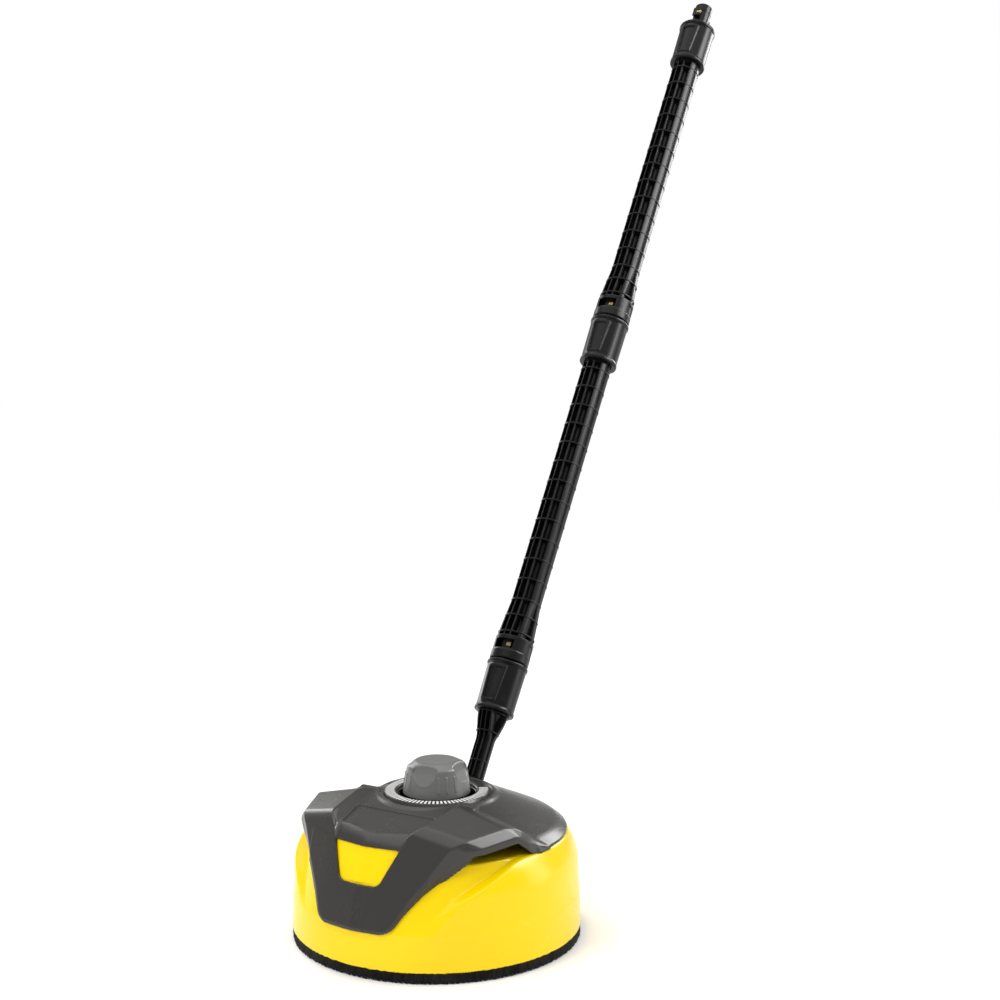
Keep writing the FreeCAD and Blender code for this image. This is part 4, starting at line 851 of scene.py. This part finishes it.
def socket_field(base):
    """The bayonet socket at a tube's foot, with the slot that shows the brass key."""
    def field(x, y, z):
        s = z - base
        radius = np.sqrt(x * x + y * y)
        from_slot = np.abs(s - SOCKET["slot"])
        outer = radius - SOCKET["radius"]
        outer = smax(outer, s - SOCKET["top"], 1.0)
        outer = smax(outer, SOCKET["foot"] - s, 1.2)
        band = smax(radius - SOCKET["band"], np.abs(s - SOCKET["foot"] - 5.0) - 4.6, 0.9)
        outer = smin(outer, band, 0.8)
        panel = smax(smax(np.abs(y - 3.0) - 6.5, from_slot - 8.0, 2.5), 20.0 - radius, 0.5)
        outer = smax(outer, -panel, 0.5)
        body = smax(outer, SOCKET["bore"] - radius, 0.5)
        slot = smax(np.abs(x + 1.0) - SOCKET["slot_half_width"],
                    from_slot - SOCKET["slot_half_height"], 1.2)
        slot = np.maximum(slot, y)
        return smax(body, -slot, 0.6)
    return field


def make_sockets(finish):
    """Both tubes' bayonet sockets."""
    for index, body in enumerate(("lower_tube", "upper_tube")):
        base = TUBE_PITCH * index
        low = (-23.0, -23.0, base + 120.0)
        high = (23.0, 23.0, base + 150.0)
        piece = moulded("socket_" + body, socket_field(base), low, high, 0.7, on_wand())
        place(piece, body, finish["wand"])


def collar_field(base, domed):
    """A grip collar: framed blank panel in front, facets beside it, raised rim on top.
    Gives its field and the box that holds it."""
    foot = base + COLLAR_FOOT
    top = foot + COLLAR_LENGTH

    def field(x, y, z):
        h = z - foot
        radius = np.sqrt(x * x + y * y)
        body = radius - (COLLAR["radius"] + COLLAR["flare"] * h)
        lip = smax(radius - COLLAR["lip"], np.abs(h - 2.2) - 2.2, 1.6)
        facet = np.abs(x) * math.cos(FACET_TURN) + y * math.sin(FACET_TURN) - COLLAR["facet"]
        body = smax(body, facet, 1.2)
        body = smin(body, lip, 1.5)
        rim = smax(radius - COLLAR["rim"], np.abs(h - (COLLAR_LENGTH - 2.6)) - 1.7, 1.0)
        body = smin(body, rim, 1.6)
        half = COLLAR["panel_half"] + 0.06 * (h - 10.0)
        frame_pad = smax(np.abs(x) - half - 2.0, np.abs(h - COLLAR["panel_middle"]) - 20.5, 2.0)
        frame_pad = smax(frame_pad, radius - COLLAR["panel_radius"], 0.7)
        frame_pad = np.maximum(frame_pad, y)
        body = smin(body, frame_pad, 0.6)
        pocket = smax(smax(np.abs(x) - half + 1.2, np.abs(h - 28.0) - 17.5, 1.2),
                      COLLAR["pocket"] - radius, 0.3)
        pocket = np.maximum(pocket, y)
        body = smax(body, -pocket, 0.5)
        body = smax(body, h - COLLAR_LENGTH, 1.2)
        if domed:
            dome = smax(radius - COLLAR["dome"], h - COLLAR_LENGTH - COLLAR["dome_height"], 3.2)
            body = smin(body, dome, 1.0)
        body = smax(body, -h, 1.0)
        bore = np.maximum(radius - COLLAR["end_bore" if domed else "bore"], 0.5 - h)
        hollow = smax(smax(radius - COLLAR["hollow"], 6.0 - h, 2.0), h - COLLAR_LENGTH + 6.0, 2.0)
        return np.maximum(np.maximum(body, -bore), -hollow)
    low = (-24.0, -24.0, foot - 2.0)
    high = (24.0, 24.0, top + 6.0)
    return field, low, high


def make_collars(finish):
    """The grip collars of the root and both tubes. Only the last one has a domed end."""
    for index, (tag, body) in enumerate((("root", "hood"), ("lower", "lower_tube"),
                                         ("upper", "upper_tube"))):
        field, low, high = collar_field(TUBE_PITCH * index, index == 2)
        piece = moulded(tag + "_grip_collar", field, low, high, 0.75, on_wand())
        place(piece, body, finish["wand"], [tag + "_collar"])


def make_root(finish):
    """The finned stem that joins the hood to the wand."""
    root = Builder()
    end = COLLAR_FOOT - JOINT_GAP
    envelope = profile_curve((*ROOT_ENVELOPE, (end, 18.4)))
    neck_top = end + COLLAR_LENGTH + NECK_OVERLAP
    root.lathe([(5.0, ROOT_FOOT), (9.9, ROOT_FOOT), (9.9, -7.0), (6.6, -6.0), (6.6, 36.0),
                (7.4, 48.0), (9.5, 57.5), (12.0, end - 2.0), (NECK_RADIUS, end - 0.6),
                (NECK_RADIUS, neck_top), (5.0, neck_top)], 64, closed=True)
    stations = stations_between(ROOT_ENVELOPE[0][0], end, 3.0)
    for back in (False, True):
        for x, width in ROOT_FINS:
            fin_bar(root, x, width, back, stations, envelope, 1.5)
    for turn in (math.pi / 2, -math.pi / 2):
        fin_bar(root, 0.0, ROOT_SIDE_FIN_WIDTH, False, stations, envelope, 2.0, turn)
    for s in ROOT_RINGS:
        rib_ring(root, s, envelope(s), 5.5)
    rib_ring(root, end - 1.0, 17.6, 12.0, 2.0)
    piece = root.piece("root_tube", on_wand(), sharp=0.5)
    place(piece, "hood", finish["wand"], ["wand_root"])


# ---------------------------------------------------------------- nodes that stay

NODE_FINISH = {
    "inner": ("brush_carrier", "bearing_housing", "wand_socket", "rotor_hub", "hub_plug",
              "nozzle_holder_right", "nozzle_holder_left", "nozzle_nut_right",
              "nozzle_nut_left", "valve_bonnet", "valve_body", "valve_plunger"),
    "white": ("scale_marks",),
    "brass": ("jet_nozzle_right", "jet_nozzle_left", "root_stub_key", "lower_stub_key",
              "upper_stub_key"),
    "rubber": ("shaft_seal", "spindle_seal", "plunger_seal", "root_stub_seal",
               "lower_stub_seal", "upper_stub_seal"),
    "wand": ("root_stub", "lower_stub", "upper_stub"),
}


def dress_nodes(finish):
    """Every CAD node still shown gets a finish, which is steel unless the table says more."""
    chosen = {name: key for key, names in NODE_FINISH.items() for name in names}
    for name, node in NODES.items():
        if node.hide_render:
            continue
        node.data.materials.clear()
        node.data.materials.append(finish[chosen.get(name, "steel")])


# ---------------------------------------------------------------- everything

make_camera()
make_world()
make_lamps()
make_floor()
finish = make_finishes()

hood = moulded("hood_skin", hood_field, (-148, -148, 8), (148, 148, 126), 2.0)
place(hood, "hood", finish["yellow"], ["hood_shell"])
insert = moulded("window_insert", insert_field, (-42, -146, 82), (42, -100, 124), 0.8)
place(insert, "hood", finish["yellow"])
cover = moulded("cover_skin", cover_field, (-140, -154, 42), (140, 134, 156), 1.1)
place(cover, "hood", finish["cover"], ["top_cover"])
make_dial(finish)
knob = moulded("knob_skin", knob_field, (-36, -36, 141), (36, 36, 179), 0.5)
place(knob, "knob", finish["knob"], ["regulator_knob"])
make_bristles(finish)
make_root(finish)
make_collars(finish)
make_sockets(finish)
ribbed_tube("lower_sheath", 0.0, COLLAR_LENGTH + NECK_OVERLAP, finish, "lower_tube",
            ["lower_tube_sheath"])
ribbed_tube("upper_sheath", TUBE_PITCH, UPPER_NECK, finish, "upper_tube",
            ["upper_tube_sheath"])
dress_nodes(finish)
